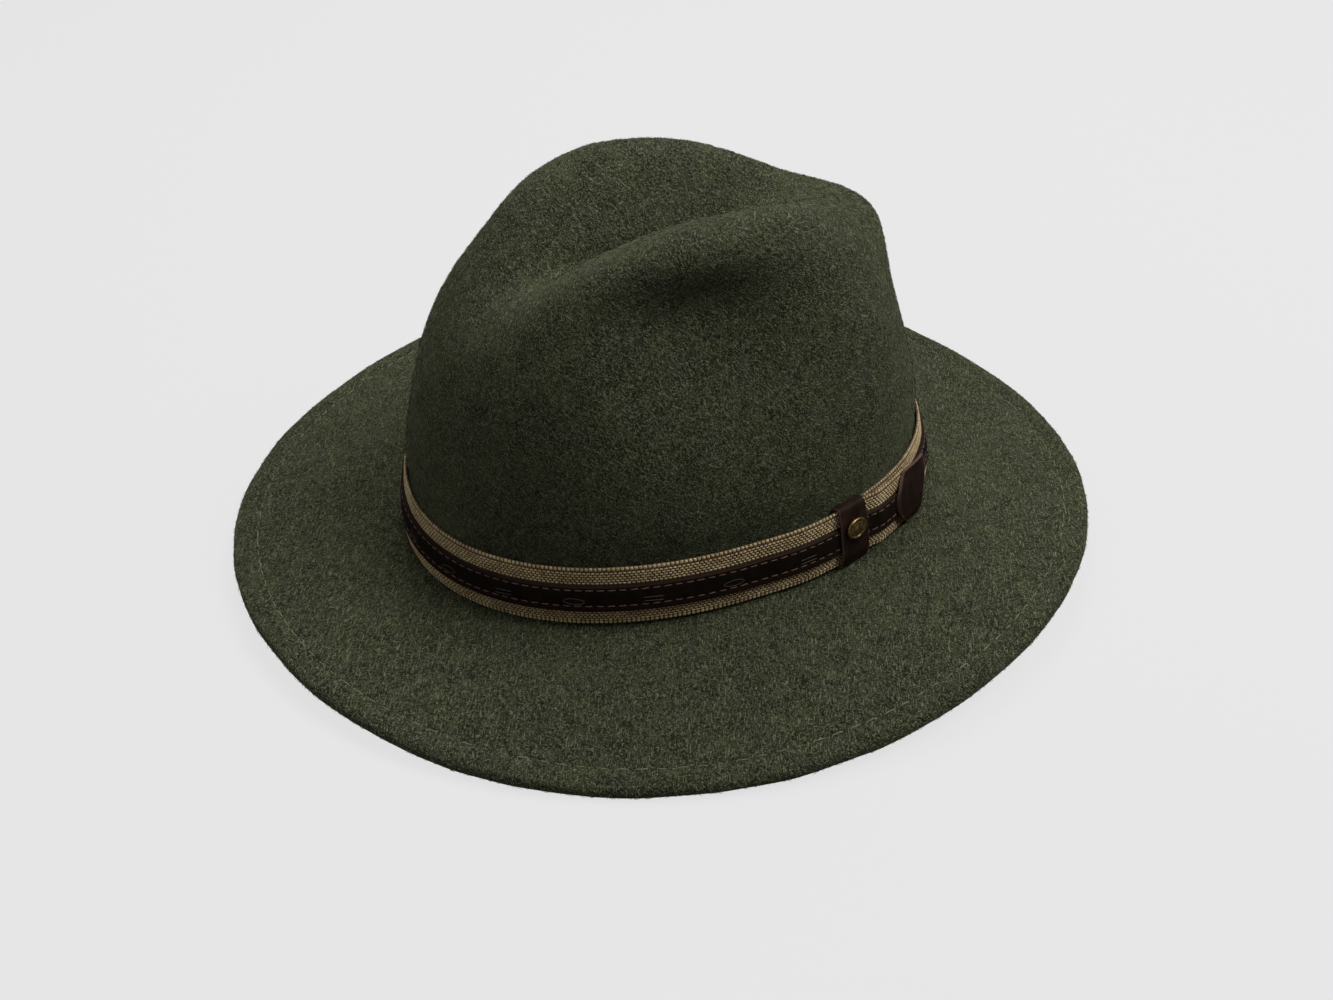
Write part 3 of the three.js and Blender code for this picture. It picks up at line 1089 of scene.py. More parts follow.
def lines_mesh(rows: Sequence[Row], closed: bool) -> bpy.types.Mesh:
    """Mesh of bare lines that carry their outward direction.

    Args:
        rows: The rows.
        closed: Whether each row runs back to its start.

    Returns:
        A mesh of edges with a vector attribute named out.
    """
    edges: list[tuple[int, int]] = []
    start = 0
    for row in rows:
        last = start + len(row.points) - 1
        edges += [(k, k + 1) for k in range(start, last)]
        if closed:
            edges.append((last, start))
        start = last + 1
    mesh = bpy.data.meshes.new("lines")
    mesh.from_pydata(np.concatenate([row.points for row in rows]).tolist(), edges, [])
    outward = np.concatenate([row.outward for row in rows])
    attribute = mesh.attributes.new("out", "FLOAT_VECTOR", "POINT")
    attribute.data.foreach_set("vector", outward.astype(np.float32).ravel())
    return mesh


@dataclass(frozen=True)
class Copies:
    """Copies of one small piece at even steps along rows, each turned and sized a little by chance."""

    piece: bpy.types.Object
    count: int
    seed: int
    sway: float = 0.0
    size_change: float = 0.0

    def along(
        self,
        rows: Sequence[Row],
        material: bpy.types.Material,
        closed: bool = False,
    ) -> bpy.types.Mesh:
        """Sets the copies along rows.

        Args:
            rows: The rows.
            material: Material of the copies.
            closed: Whether each row runs back to its start.

        Returns:
            The mesh of all the copies.
        """
        return row_tree().run(lines_mesh(rows, closed), {
            "Piece": self.piece,
            "Count": self.count,
            "Sway": math.radians(self.sway),
            "Size change": self.size_change,
            "Seed": self.seed,
            "Material": material,
        })


class Ring(NamedTuple):
    """Ring round a small piece that lies along X, or an end point of it, in millimetres."""

    place: float
    height: float
    half_width: float = 0.0
    half_height: float = 0.0


def mirrored(rings: Sequence[Ring]) -> list[Ring]:
    """The other half of a piece whose two ends are alike."""
    return [ring._replace(place=-ring.place) for ring in reversed(rings)]


def small_object(name: str, points: Sequence[Sequence[float]], faces: Faces) -> bpy.types.Object:
    """Object that a tree copies, from points in millimetres. It is in no collection."""
    return bpy.data.objects.new(name, mesh_from(name, np.array(points, float) * MM, faces))


def spindle(name: str, rings: Sequence[Ring], sides: int) -> bpy.types.Object:
    """Small rounded piece along X, pointed at both ends.

    Args:
        name: Name of the object.
        rings: Its rings, the first and the last of which are its end points.
        sides: How many sides it has.

    Returns:
        The object, in no collection.
    """
    points = [(rings[0].place, 0.0, rings[0].height)]
    for ring in rings[1:-1]:
        for k in range(sides):
            turn = math.tau * k / sides
            across = ring.half_width * math.cos(turn)
            points.append((ring.place, across, ring.height + ring.half_height * math.sin(turn)))
    points.append((rings[-1].place, 0.0, rings[-1].height))
    return small_object(name, points, capped_faces(len(rings) - 2, sides))


def stitch_shape(name: str, length: float, thickness: float, height: float) -> bpy.types.Object:
    """One sewn stitch, arched over its cloth with both ends going down into it.

    Args:
        name: Name of the object.
        length: Its length in millimetres.
        thickness: Thickness of its thread.
        height: Height of its middle above the cloth.

    Returns:
        The object, in no collection.
    """
    half = length / 2
    radius = thickness / 2
    rising = [
        Ring(-half * 1.04, -radius * 1.6),
        Ring(-half * 0.96, -radius * 0.6, radius * 0.72, radius * 0.72),
        Ring(-half * 0.62, height * 0.75, radius, radius),
    ]
    top = Ring(0, height, radius, radius)
    return spindle(name, [*rising, top, *mirrored(rising)], sides=6)


def ring_shape(name: str, half_length: float, half_width: float, thickness: float) -> bpy.types.Object:
    """Thin oval line that lies flat, half sunk into what it lies on.

    Args:
        name: Name of the object.
        half_length: Half its length along X, in millimetres.
        half_width: Half its width along Y.
        thickness: Thickness of its line.

    Returns:
        The object, in no collection.
    """
    around, sides = 20, 4
    points = []
    for k in range(around):
        turn = math.tau * k / around
        for m in range(sides):
            tilt = math.tau * (m + 0.5) / sides
            reach = thickness / 2 * math.cos(tilt)
            points.append((
                (half_length + reach) * math.cos(turn),
                (half_width + reach) * math.sin(turn),
                thickness * 0.3 * math.sin(tilt),
            ))
    faces = skin_faces(around, sides).tolist()
    last = (around - 1) * sides
    faces += [[last + m, m, (m + 1) % sides, last + (m + 1) % sides] for m in range(sides)]
    return small_object(name, points, faces)


class UnderRow(NamedTuple):
    """Ring under the brim: how far in from the edge it runs, and how thick the felt is there."""

    inset: float
    thickness: float


UNDER_ROWS = (
    UnderRow(4.5, 4.6),
    UnderRow(7, 4.55),
    UnderRow(8.4, 4.45),
    UnderRow(9, 4.3),
    UnderRow(9.6, 4.45),
    UnderRow(10.1, 4.4),
    UnderRow(10.4, 4),
    UnderRow(10.5, 3.3),
    UnderRow(10.7, 2.8),
    UnderRow(11.4, 2.6),
)


@dataclass
class FeltBody:
    """Crown and brim of one felt, with its turned and stitched edge and its nap."""

    form: HatForm
    segments: int = 400
    profile_samples: int = 500
    crown_rings: int = 94
    inner_first: int = 4
    inner_stride: int = 2
    round_steps: int = 6
    fillet: float = 0.9
    brim_rings: int = 40
    brim_ring_power: float = 0.92
    edge_steps: int = 12
    under_rings: int = 14
    corner_round: float = 3.4
    stitch_inset: float = 9
    stitch_count: int = 152
    stitch_length: float = 4
    stitch_thickness: float = 0.4
    stitch_arch: float = 0.22
    groove: float = 0.42
    groove_half_width: float = 1.2
    puff: float = 0.35
    lump_sizes: tuple[tuple[float, float], ...] = ((22, 0.34), (8, 0.14))
    wobble: float = 0.45
    wobble_size: float = 26
    band_top: float = 22
    edge_nap: float = 0.7
    under_nap: float = 0.3
    corner_nap: float = 0.3
    inside_nap: float = 0.12
    nap_seed: int = 11
    nap_seed_step: int = 5
    hair_length: float = 3.2
    hair_thickness: float = 0.13
    hair_bend: float = 0.21
    hair_start: float = -0.1
    hair_end: float = 0.05
    hair_lift: float = 14
    hair_shortest: float = 0.5
    hair_longest: float = 1.3

    def angles(self) -> Array:
        """Angles of the mesh's columns."""
        return np.arange(self.segments) * 360 / self.segments

    def profile_turns(self) -> Array:
        """Profile parameters of the crown's rings, evenly spaced along the felt.

        Returns:
            A row for each ring from the break to just below the tip, with a value for each column.
        """
        samples = np.linspace(0, math.pi / 2, self.profile_samples)
        wanted = np.linspace(0, 1, self.crown_rings + 1)[:-1]
        side, top = self.form.roundness(self.angles())
        columns = []
        for side_here, top_here in zip(side, top):
            radius = np.cos(samples) ** (2 / side_here)
            height = np.sin(samples) ** (2 / top_here)
            inwards = np.diff(radius) * self.form.half_length
            steps = np.hypot(inwards, np.diff(height) * self.form.crown_height)
            length = np.concatenate([[0], np.cumsum(steps)])
            columns.append(np.interp(wanted, length / length[-1], samples))
        return np.array(columns).T

    def crown_outside(self) -> Array:
        """Outer face of the crown before the band draws it in.

        Returns:
            Its rings, from the break up.
        """
        turns = self.profile_turns()
        side, top = self.form.roundness(self.angles())
        radius = np.cos(turns) ** (2 / side)
        height = np.sin(turns) ** (2 / top)
        return self.form.crown(np.broadcast_to(self.angles(), turns.shape), radius, height)

    def grid_normals(self, rings: Array) -> Array:
        """Directions out of a surface.

        Args:
            rings: Its rings, which run downwards on the outside.

        Returns:
            A unit direction for each point.
        """
        around = np.roll(rings, -1, 1) - np.roll(rings, 1, 1)
        along = np.gradient(rings, axis=0)
        return unit(np.cross(along, around) + 1e-12)

    def brim_top(self, angle: Array) -> list[Array]:
        """Upper face of the brim, with its small fillet at the crown and its stitched groove.

        Args:
            angle: Angles of the columns.

        Returns:
            Its rings, from the break outwards.
        """
        form = self.form
        rings = []
        for k in range(1, self.round_steps + 1):
            turn = math.radians(90 * k / self.round_steps)
            rise = self.fillet * (1 - math.sin(turn)) - form.brim_drop
            rings.append(form.wall(angle, rise, self.fillet * (1 - math.cos(turn))))
        start = form.brim_span(angle) - self.fillet * 2
        end = form.welt / 2
        for k in range(self.brim_rings):
            inset = start + (end - start) * (k / self.brim_rings) ** self.brim_ring_power
            groove = self.groove * bell(inset - self.stitch_inset, self.groove_half_width)
            puff = self.puff * np.sin(math.pi * np.clip(inset / self.stitch_inset, 0, 1)) ** 2
            rings.append(form.brim(angle, inset, groove - puff))
        return rings

    def brim_edge(self, angle: Array) -> list[Array]:
        """Thick turned edge of the brim and the brim's underside.

        Args:
            angle: Angles of the columns.

        Returns:
            Their rings, round the edge and then inwards.
        """
        form = self.form
        half = form.welt / 2
        rings = []
        for k in range(self.edge_steps + 1):
            tilt = math.radians(90 - 180 * k / self.edge_steps)
            rings.append(form.brim(angle, half * (1 - math.cos(tilt)), half * (1 - math.sin(tilt))))
        rings += [form.brim(angle, row.inset, row.thickness) for row in UNDER_ROWS]
        start = UNDER_ROWS[-1].inset
        end = form.brim_span(angle) - (self.corner_round - form.felt)
        for k in range(1, self.under_rings + 1):
            rings.append(form.brim(angle, start + (end - start) * k / self.under_rings, form.felt))
        return rings

    def inner_corner(self, angle: Array) -> list[Array]:
        """Rounded corner where the brim's underside turns up into the crown.

        Args:
            angle: Angles of the columns.

        Returns:
            Its rings, from the underside up.
        """
        form = self.form
        low = -form.brim_drop - form.felt
        rings = []
        for k in range(1, self.round_steps + 1):
            turn = math.radians(90 * k / self.round_steps)
            out = self.corner_round * (1 - math.sin(turn)) - form.felt
            rings.append(form.wall(angle, low + self.corner_round * (1 - math.cos(turn)), out))
        return rings

    def rings(self) -> tuple[Array, Array, Array]:
        """Puts all rings of the felt in order.

        Returns:
            The rings from the tip's outside to its inside, the nap on each, and the two tip points.
        """
        form = self.form
        angle = self.angles()
        outside = self.crown_outside()
        rise = outside[..., 2] - form.break_z(angle)
        pressed = outside.copy()
        pressed[..., :2] -= form.outward(angle) * form.squeeze(rise)[..., None]
        normals = -self.grid_normals(outside)
        inside = (outside - normals * form.felt)[self.inner_first::self.inner_stride]
        groups = [
            (list(pressed[::-1]), 1.0),
            (self.brim_top(angle), 1.0),
            (self.brim_edge(angle), self.edge_nap),
            (self.inner_corner(angle), self.corner_nap),
            (list(inside), self.inside_nap),
        ]
        rings = np.array([ring for group, _ in groups for ring in group])
        nap = np.concatenate([np.full(len(group), amount) for group, amount in groups])
        under = len(pressed) + self.round_steps + self.brim_rings + self.edge_steps
        nap[under:under + len(UNDER_ROWS) + self.under_rings] = self.under_nap
        tip = form.crown(np.array(0.0), np.array(0.0), np.array(1.0))
        tips = np.array([tip, tip - np.array([0, 0, form.felt])])
        return rings, nap, tips

    def relief(self, rings: Array) -> Array:
        """Felt made slightly uneven, and wavy along the brim's edge, as steam and hands leave it.

        Args:
            rings: Its even rings.

        Returns:
            The uneven ones, no lower than the surface that the hat stands on.
        """
        normals = self.grid_normals(rings)
        offset = sum(depth * lumps(rings, size) for size, depth in self.lump_sizes)
        moved = rings + normals * offset[..., None]
        distance = np.linalg.norm(rings[..., :2], axis=-1)
        inner = np.linalg.norm(self.form.oval(self.angles()), axis=-1)
        share = np.clip((distance - inner) / self.form.brim_width, 0, 1) ** 2
        moved[..., 2] += self.wobble * share * lumps(rings * np.array([1, 1, 0]), self.wobble_size)
        moved[..., 2] = np.maximum(moved[..., 2], -self.form.break_height)
        return moved

    def build(self, finish: FeltFinish) -> bpy.types.Object:
        """Makes the felt shell.

        Args:
            finish: Its finish.

        Returns:
            The piece.
        """
        rings, nap, tips = self.rings()
        rings = self.relief(rings)
        count, around = rings.shape[:2]
        points = np.concatenate([rings.reshape(-1, 3), tips])
        faces = skin_faces(count, around).tolist()
        first_tip = count * around
        last = (count - 1) * around
        faces += [(first_tip, k, (k + 1) % around) for k in range(around)]
        faces += [(first_tip + 1, last + (k + 1) % around, last + k) for k in range(around)]
        mesh = mesh_from("felt_shell", self.form.place(points), faces)
        covered = (rings[..., 2] - self.form.break_z(self.angles()) < self.band_top).astype(float)
        covered[self.crown_rings:] = 0
        amount = nap[:, None] * (1 - covered)
        paint_attribute(mesh, "nap", np.concatenate([amount.ravel(), [1, 0]]))
        return finish_piece("felt_shell", mesh, finish.build(), ["felt_body"])

    def hair_shape(self) -> bpy.types.Object:
        """Makes one bent wool hair that lies along X.

        Returns:
            The object, in no collection.
        """
        half = self.hair_length / 2
        thin = self.hair_thickness / 2
        bend = Ring(half * 0.1, self.hair_bend, thin, thin)
        return spindle("hair", [Ring(-half, self.hair_start), bend, Ring(half, self.hair_end)], sides=3)

    def build_nap(
        self,
        shell: bpy.types.Object,
        finishes: Sequence[HairFinish],
        density: float,
    ) -> list[bpy.types.Object]:
        """Lays loose hairs on the felt, one piece for each shade.

        Args:
            shell: The felt shell.
            finishes: Finish of each shade.
            density: Hairs of one shade on each square metre.

        Returns:
            The pieces.
        """
        tree = nap_tree()
        hair = self.hair_shape()
        pieces = []
        for k, finish in enumerate(finishes):
            material = finish.build()
            mesh = tree.run(shell.data.copy(), {
                "Hair": hair,
                "Density": density,
                "Lift": math.radians(self.hair_lift),
                "Shortest": self.hair_shortest,
                "Longest": self.hair_longest,
                "Seed": self.nap_seed + self.nap_seed_step * k,
                "Material": material,
            })
            pieces.append(finish_piece(finish.name, mesh, material))
        return pieces

    def build_stitches(self, finish: ThreadFinish) -> bpy.types.Object:
        """Sews the turned edge of the brim.

        Args:
            finish: Finish of the thread.

        Returns:
            The piece.
        """
        angle = self.angles()
        # The rings on both sides of the seam give the relief its slope there.
        beside = [self.form.brim(angle, self.stitch_inset + step, self.groove) for step in (2, 0, -2)]
        line = self.relief(np.array(beside))[1]
        row = Row(self.form.place(line), np.broadcast_to([0.0, 0.0, 1.0], line.shape))
        stitch = stitch_shape("brim_stitch", self.stitch_length, self.stitch_thickness, self.stitch_arch)
        copies = Copies(stitch, self.stitch_count, seed=3, sway=4, size_change=0.2)
        material = finish.build()
        mesh = copies.along([row], material, closed=True)
        return finish_piece("brim_stitches", mesh, material)


@dataclass(frozen=True)
class Wrap:
    """How leather over the strap bends back towards its lower and upper edges."""

    low: float
    full_from: float
    full_to: float
    high: float
    depth: float

    def at(self, rise: Array) -> Array:
        """Distance that it bends back at a height, its depth at both edges and 0 between them."""
        low_share = 1 - smoothstep(rise, self.low, self.full_from)
        return self.depth * (low_share + smoothstep(rise, self.full_to, self.high))


@dataclass
class HatBand:
    """Webbing laid round the crown over its own beginning, with a leather strip on it."""

    form: HatForm
    gap: float = 0.3
    webbing: float = 1
    leather: float = 0.9
    height: float = 21.7
    strip_low: float = 5.4
    strip_high: float = 15.2
    strip_pillow: float = 0.16
    strip_sink: float = 0.02
    start: float = 107.6
    strip_start: float = 112.5
    end: float = 484.2
    loop_ramp: tuple[float, float] = (79.5, 93)
    end_ramp: tuple[float, float] = (107.25, 111.75)
    end_lift: float = 1.4
    end_lift_ramp: tuple[float, float] = (120, 128.5)
    flare: float = 1.8
    flare_angle: float = 143
    flare_reach: float = 14
    step: float = 1
    rounding: float = 0.5
    ground_inner: float = 0.03
    ground_outer: float = 0.92
    weave_rises: tuple[float, ...] = (1.75, 2.7, 3.65, 4.6, 15.9, 16.85, 17.8, 18.75, 19.7)
    weave_out: float = 0.98
    selvedge_rises: tuple[float, ...] = (0.55, 21.1)
    selvedge_out: float = 0.8
    weave_count: int = 405
    weave_margin: float = 0.5
    weave_samples: int = 800
    stitch_rises: tuple[float, float] = (7.9, 13.9)
    stitch_groove: float = 0.2
    stitch_groove_half_width: float = 0.45
    stitch_margin: float = 0.4
    stitch_samples: int = 900
    stitch_count: int = 166
    stitch_length: float = 2.75
    stitch_thickness: float = 0.44
    stitch_arch: float = 0.14
    edge_tint: tuple[float, float] = (-0.2, 0.5)
    mark_spacing: float = 31.3
    oval_angle: float = 122.8
    dash_angle: float = 138.45
    dash_rises: tuple[float, float] = (9.1, 10.5)
    mark_rise: float = 9.8
    mark_count: int = 12

    @property
    def cover_lift(self) -> float:
        """Distance from the strap's inner face to the inner face of leather that lies over it."""
        return self.webbing + self.leather + 2 * self.gap

    def stand_off(self, angle: Array, rise: Array) -> Array:
        """How far the strap's inner face stands off the felt.

        Args:
            angle: Angles round the hat, past 360 where the strap lies over its own beginning.
            rise: Heights above the strap's lower edge.

        Returns:
            The distances.
        """
        on_top = angle - 360
        loop_back = self.leather + self.gap
        climb = loop_back * smoothstep(on_top, *self.loop_ramp)
        climb = climb + (self.cover_lift - loop_back) * smoothstep(on_top, *self.end_ramp)
        climb = climb + self.end_lift * smoothstep(on_top, *self.end_lift_ramp)
        flare = self.flare * bell(angle % 360 - self.flare_angle, self.flare_reach)
        return self.gap + climb + flare * (1 - rise / self.height)

    def cover(self, angle: Array, rise: Array, wrap: Wrap) -> Array:
        """Distance from the felt to the inner face of leather over both layers of the strap."""
        return self.stand_off(angle + 360, rise) + self.cover_lift - wrap.at(rise)

    def at(self, angle: Array, rise: Array, out: Array) -> Array:
        """Points on the strap, out millimetres from its inner face."""
        return self.form.wall(angle, rise, self.stand_off(angle, rise) + out)

    def row(self, angle: Array, rise: float, out: float) -> Row:
        """Row along the strap.

        Args:
            angle: Angles of its points.
            rise: Its height above the strap's lower edge.
            out: Its distance from the strap's inner face.

        Returns:
            The row.
        """
        here = np.full_like(angle, rise)
        points = self.at(angle, here, out)
        inner = self.at(angle, here, 0)
        along = self.at(angle + NEXT_ANGLE, here, 0) - inner
        up = self.at(angle, here + NEXT_RISE, 0) - inner
        return Row(self.form.place(points), unit(np.cross(along, up)))

    def sweep(self, name: str, start: float, rises: Array, outer: Array, inner: Array) -> bpy.types.Mesh:
        """Closed strip along the strap.

        Args:
            name: Name of the mesh.
            start: Angle where it begins.
            rises: Heights of its points, from the lower edge to the upper one.
            outer: Distance of its outer face from the strap's inner face at those heights.
            inner: The same for its inner face.

        Returns:
            The mesh.
        """
        angles = np.linspace(start, self.end, round((self.end - start) / self.step) + 1)
        section_rise = np.concatenate([rises, rises[::-1]])
        section_out = np.concatenate([outer, inner[::-1]])
        points = self.at(angles[:, None], section_rise[None], section_out[None])
        return swept(name, self.form.place(points))

    def edge_share(self, rises: Array) -> Array:
        """Share of the full thickness left near the rounded edges at the first and last height."""
        distance = np.minimum(rises - rises[0], rises[-1] - rises) / self.rounding
        return np.sqrt(np.clip(1 - (1 - np.clip(distance, 0, 1)) ** 2, 0, 1))

    def build_webbing(self, finish: WebbingFinish) -> bpy.types.Object:
        """Makes the webbing's ground.

        Args:
            finish: Its finish.

        Returns:
            The piece.
        """
        rises = graded(0, self.height, inset=0.9, count=19, near=(0, 0.08, 0.25, 0.5))
        share = self.edge_share(rises)
        middle = self.webbing / 2
        outer = middle + (self.webbing * self.ground_outer - middle) * share
        inner = middle - (middle - self.ground_inner) * share
        mesh = self.sweep("webbing_ground", self.start, rises, outer, inner)
        return finish_piece("webbing_ground", mesh, finish.build(), ["band_webbing"])

    def bead_rows(self, rises: Sequence[float], out: float) -> list[Row]:
        """Rows of the weave, every second one half a step further on.

        Args:
            rises: Height of each row.
            out: Distance of all of them from the strap's inner face.

        Returns:
            The rows.
        """
        half_step = (self.end - self.start) / self.weave_count / 2
        first, last = self.start + self.weave_margin, self.end - self.weave_margin - half_step
        angle = np.linspace(first, last, self.weave_samples)
        return [self.row(angle + half_step * (k % 2), rise, out) for k, rise in enumerate(rises)]

    def build_weave(self, finish: WebbingFinish) -> list[bpy.types.Object]:
        """Makes the raised threads of the weave and of the two selvedges.

        Args:
            finish: Their finish.

        Returns:
            The pieces.
        """
        material = finish.build()
        bead_half = [Ring(-0.68, 0), Ring(-0.36, 0.06, 0.36, 0.24)]
        loop_half = [Ring(-0.76, -0.2), Ring(-0.4, -0.1, 0.62, 0.42)]
        bead = spindle("weave_bead", bead_half + mirrored(bead_half), sides=6)
        loop = spindle("selvedge_loop", loop_half + mirrored(loop_half), sides=8)
        threads = (
            ("webbing_weave", self.bead_rows(self.weave_rises, self.weave_out), bead, 5),
            ("webbing_selvedges", self.bead_rows(self.selvedge_rises, self.selvedge_out), loop, 6),
        )
        pieces = []
        for name, rows, shape, seed in threads:
            mesh = Copies(shape, self.weave_count, seed, sway=12, size_change=0.1).along(rows, material)
            pieces.append(finish_piece(name, mesh, material))
        return pieces

    def strip_face(self, rise: Array | float) -> Array | float:
        """Outer face of the strip, a little rounded and drawn in along its stitches.

        Args:
            rise: Heights above the strap's lower edge.

        Returns:
            Its distance from the strap's inner face.
        """
        middle = (self.strip_low + self.strip_high) / 2
        reach = (self.strip_high - self.strip_low) / 2
        pillow = self.strip_pillow * (1 - ((rise - middle) / reach) ** 2)
        across = (bell(rise - row, self.stitch_groove_half_width) for row in self.stitch_rises)
        return self.webbing + self.gap + self.leather + pillow - self.stitch_groove * sum(across)

    def build_strip(self, finish: LeatherFinish) -> bpy.types.Object:
        """Makes the leather strip.

        Args:
            finish: Its finish.

        Returns:
            The piece.
        """
        near = (0, 0.07, 0.2, 0.4, 0.7, 1)
        rises = graded(self.strip_low, self.strip_high, inset=1.3, count=23, near=near)
        share = self.edge_share(rises)
        back = self.webbing - self.strip_sink
        middle = back + self.leather / 2
        outer = middle + (self.strip_face(rises) - middle) * share
        inner = middle - (middle - back) * share
        mesh = self.sweep("leather_strip", self.strip_start, rises, outer, inner)
        beyond = np.maximum(rises - self.stitch_rises[1], self.stitch_rises[0] - rises)
        tint = smoothstep(beyond, *self.edge_tint)
        section = np.concatenate([tint, tint[::-1]])
        paint_attribute(mesh, "edge", np.tile(section, len(mesh.vertices) // len(section)))
        return finish_piece("strip_leather", mesh, finish.build(), ["leather_strip"])

    def build_stitches(self, finish: ThreadFinish) -> bpy.types.Object:
        """Sews the strip along both of its edges.

        Args:
            finish: Finish of the thread.

        Returns:
            The piece.
        """
        first, last = self.strip_start + self.stitch_margin, self.end - self.stitch_margin
        angle = np.linspace(first, last, self.stitch_samples)
        rows = [self.row(angle, rise, self.strip_face(rise)) for rise in self.stitch_rises]
        stitch = stitch_shape("strip_stitch", self.stitch_length, self.stitch_thickness, self.stitch_arch)
        material = finish.build()
        mesh = Copies(stitch, self.stitch_count, seed=4, sway=5, size_change=0.08).along(rows, material)
        return finish_piece("strip_stitches", mesh, material)

    def mark_rows(self, first: float, rises: Sequence[float]) -> list[Row]:
        """Short rows whose two ends are neighbouring places of a mark.

        Args:
            first: Angle of the first mark.
            rises: Heights at which the mark is pressed.

        Returns:
            The rows.
        """
        pairs = first + self.mark_spacing * np.arange(self.mark_count).reshape(-1, 2)
        return [self.row(pair, rise, self.strip_face(rise)) for rise in rises for pair in pairs]

    def build_marks(self, finish: ThreadFinish) -> list[bpy.types.Object]:
        """Presses plain ovals and double dashes in turn along the strip.

        Args:
            finish: Finish of their lines, pale as a painted highlight along the pressed edges.

        Returns:
            The pieces.
        """
        material = finish.build()
        oval = ring_shape("oval_mark", half_length=3.6, half_width=1.05, thickness=0.3)
        dash_half = [Ring(-3.3, -0.02), Ring(-3.05, 0.02, 0.15, 0.08)]
        dash = spindle("dash_mark", dash_half + mirrored(dash_half), sides=4)
        marks = (
            ("strip_ovals", self.mark_rows(self.oval_angle, (self.mark_rise,)), oval),
            ("strip_dashes", self.mark_rows(self.dash_angle, self.dash_rises), dash),
        )
        pieces = []
        for name, rows, shape in marks:
            mesh = Copies(shape, count=2, seed=8).along(rows, material)
            pieces.append(finish_piece(name, mesh, material))
        return pieces


class Corner(NamedTuple):
    """Round corner of an outline: its middle, its radius, and the turn where it begins."""

    out: float
    rise: float
    radius: float
    first: float


class StudRing(NamedTuple):
    """Ring of the stud, as shares of its half width and of its thickness."""

    reach: float
    height: float


STUD_RINGS = (
    StudRing(0.93, 0),
    StudRing(1, 0.12),
    StudRing(1, 0.5),
    StudRing(0.95, 0.72),
    StudRing(0.86, 0.78),
    StudRing(0.79, 0.66),
    StudRing(0.75, 0.52),
    StudRing(0.66, 0.6),
    StudRing(0.5, 0.8),
    StudRing(0.3, 0.93),
    StudRing(0.12, 0.99),
)


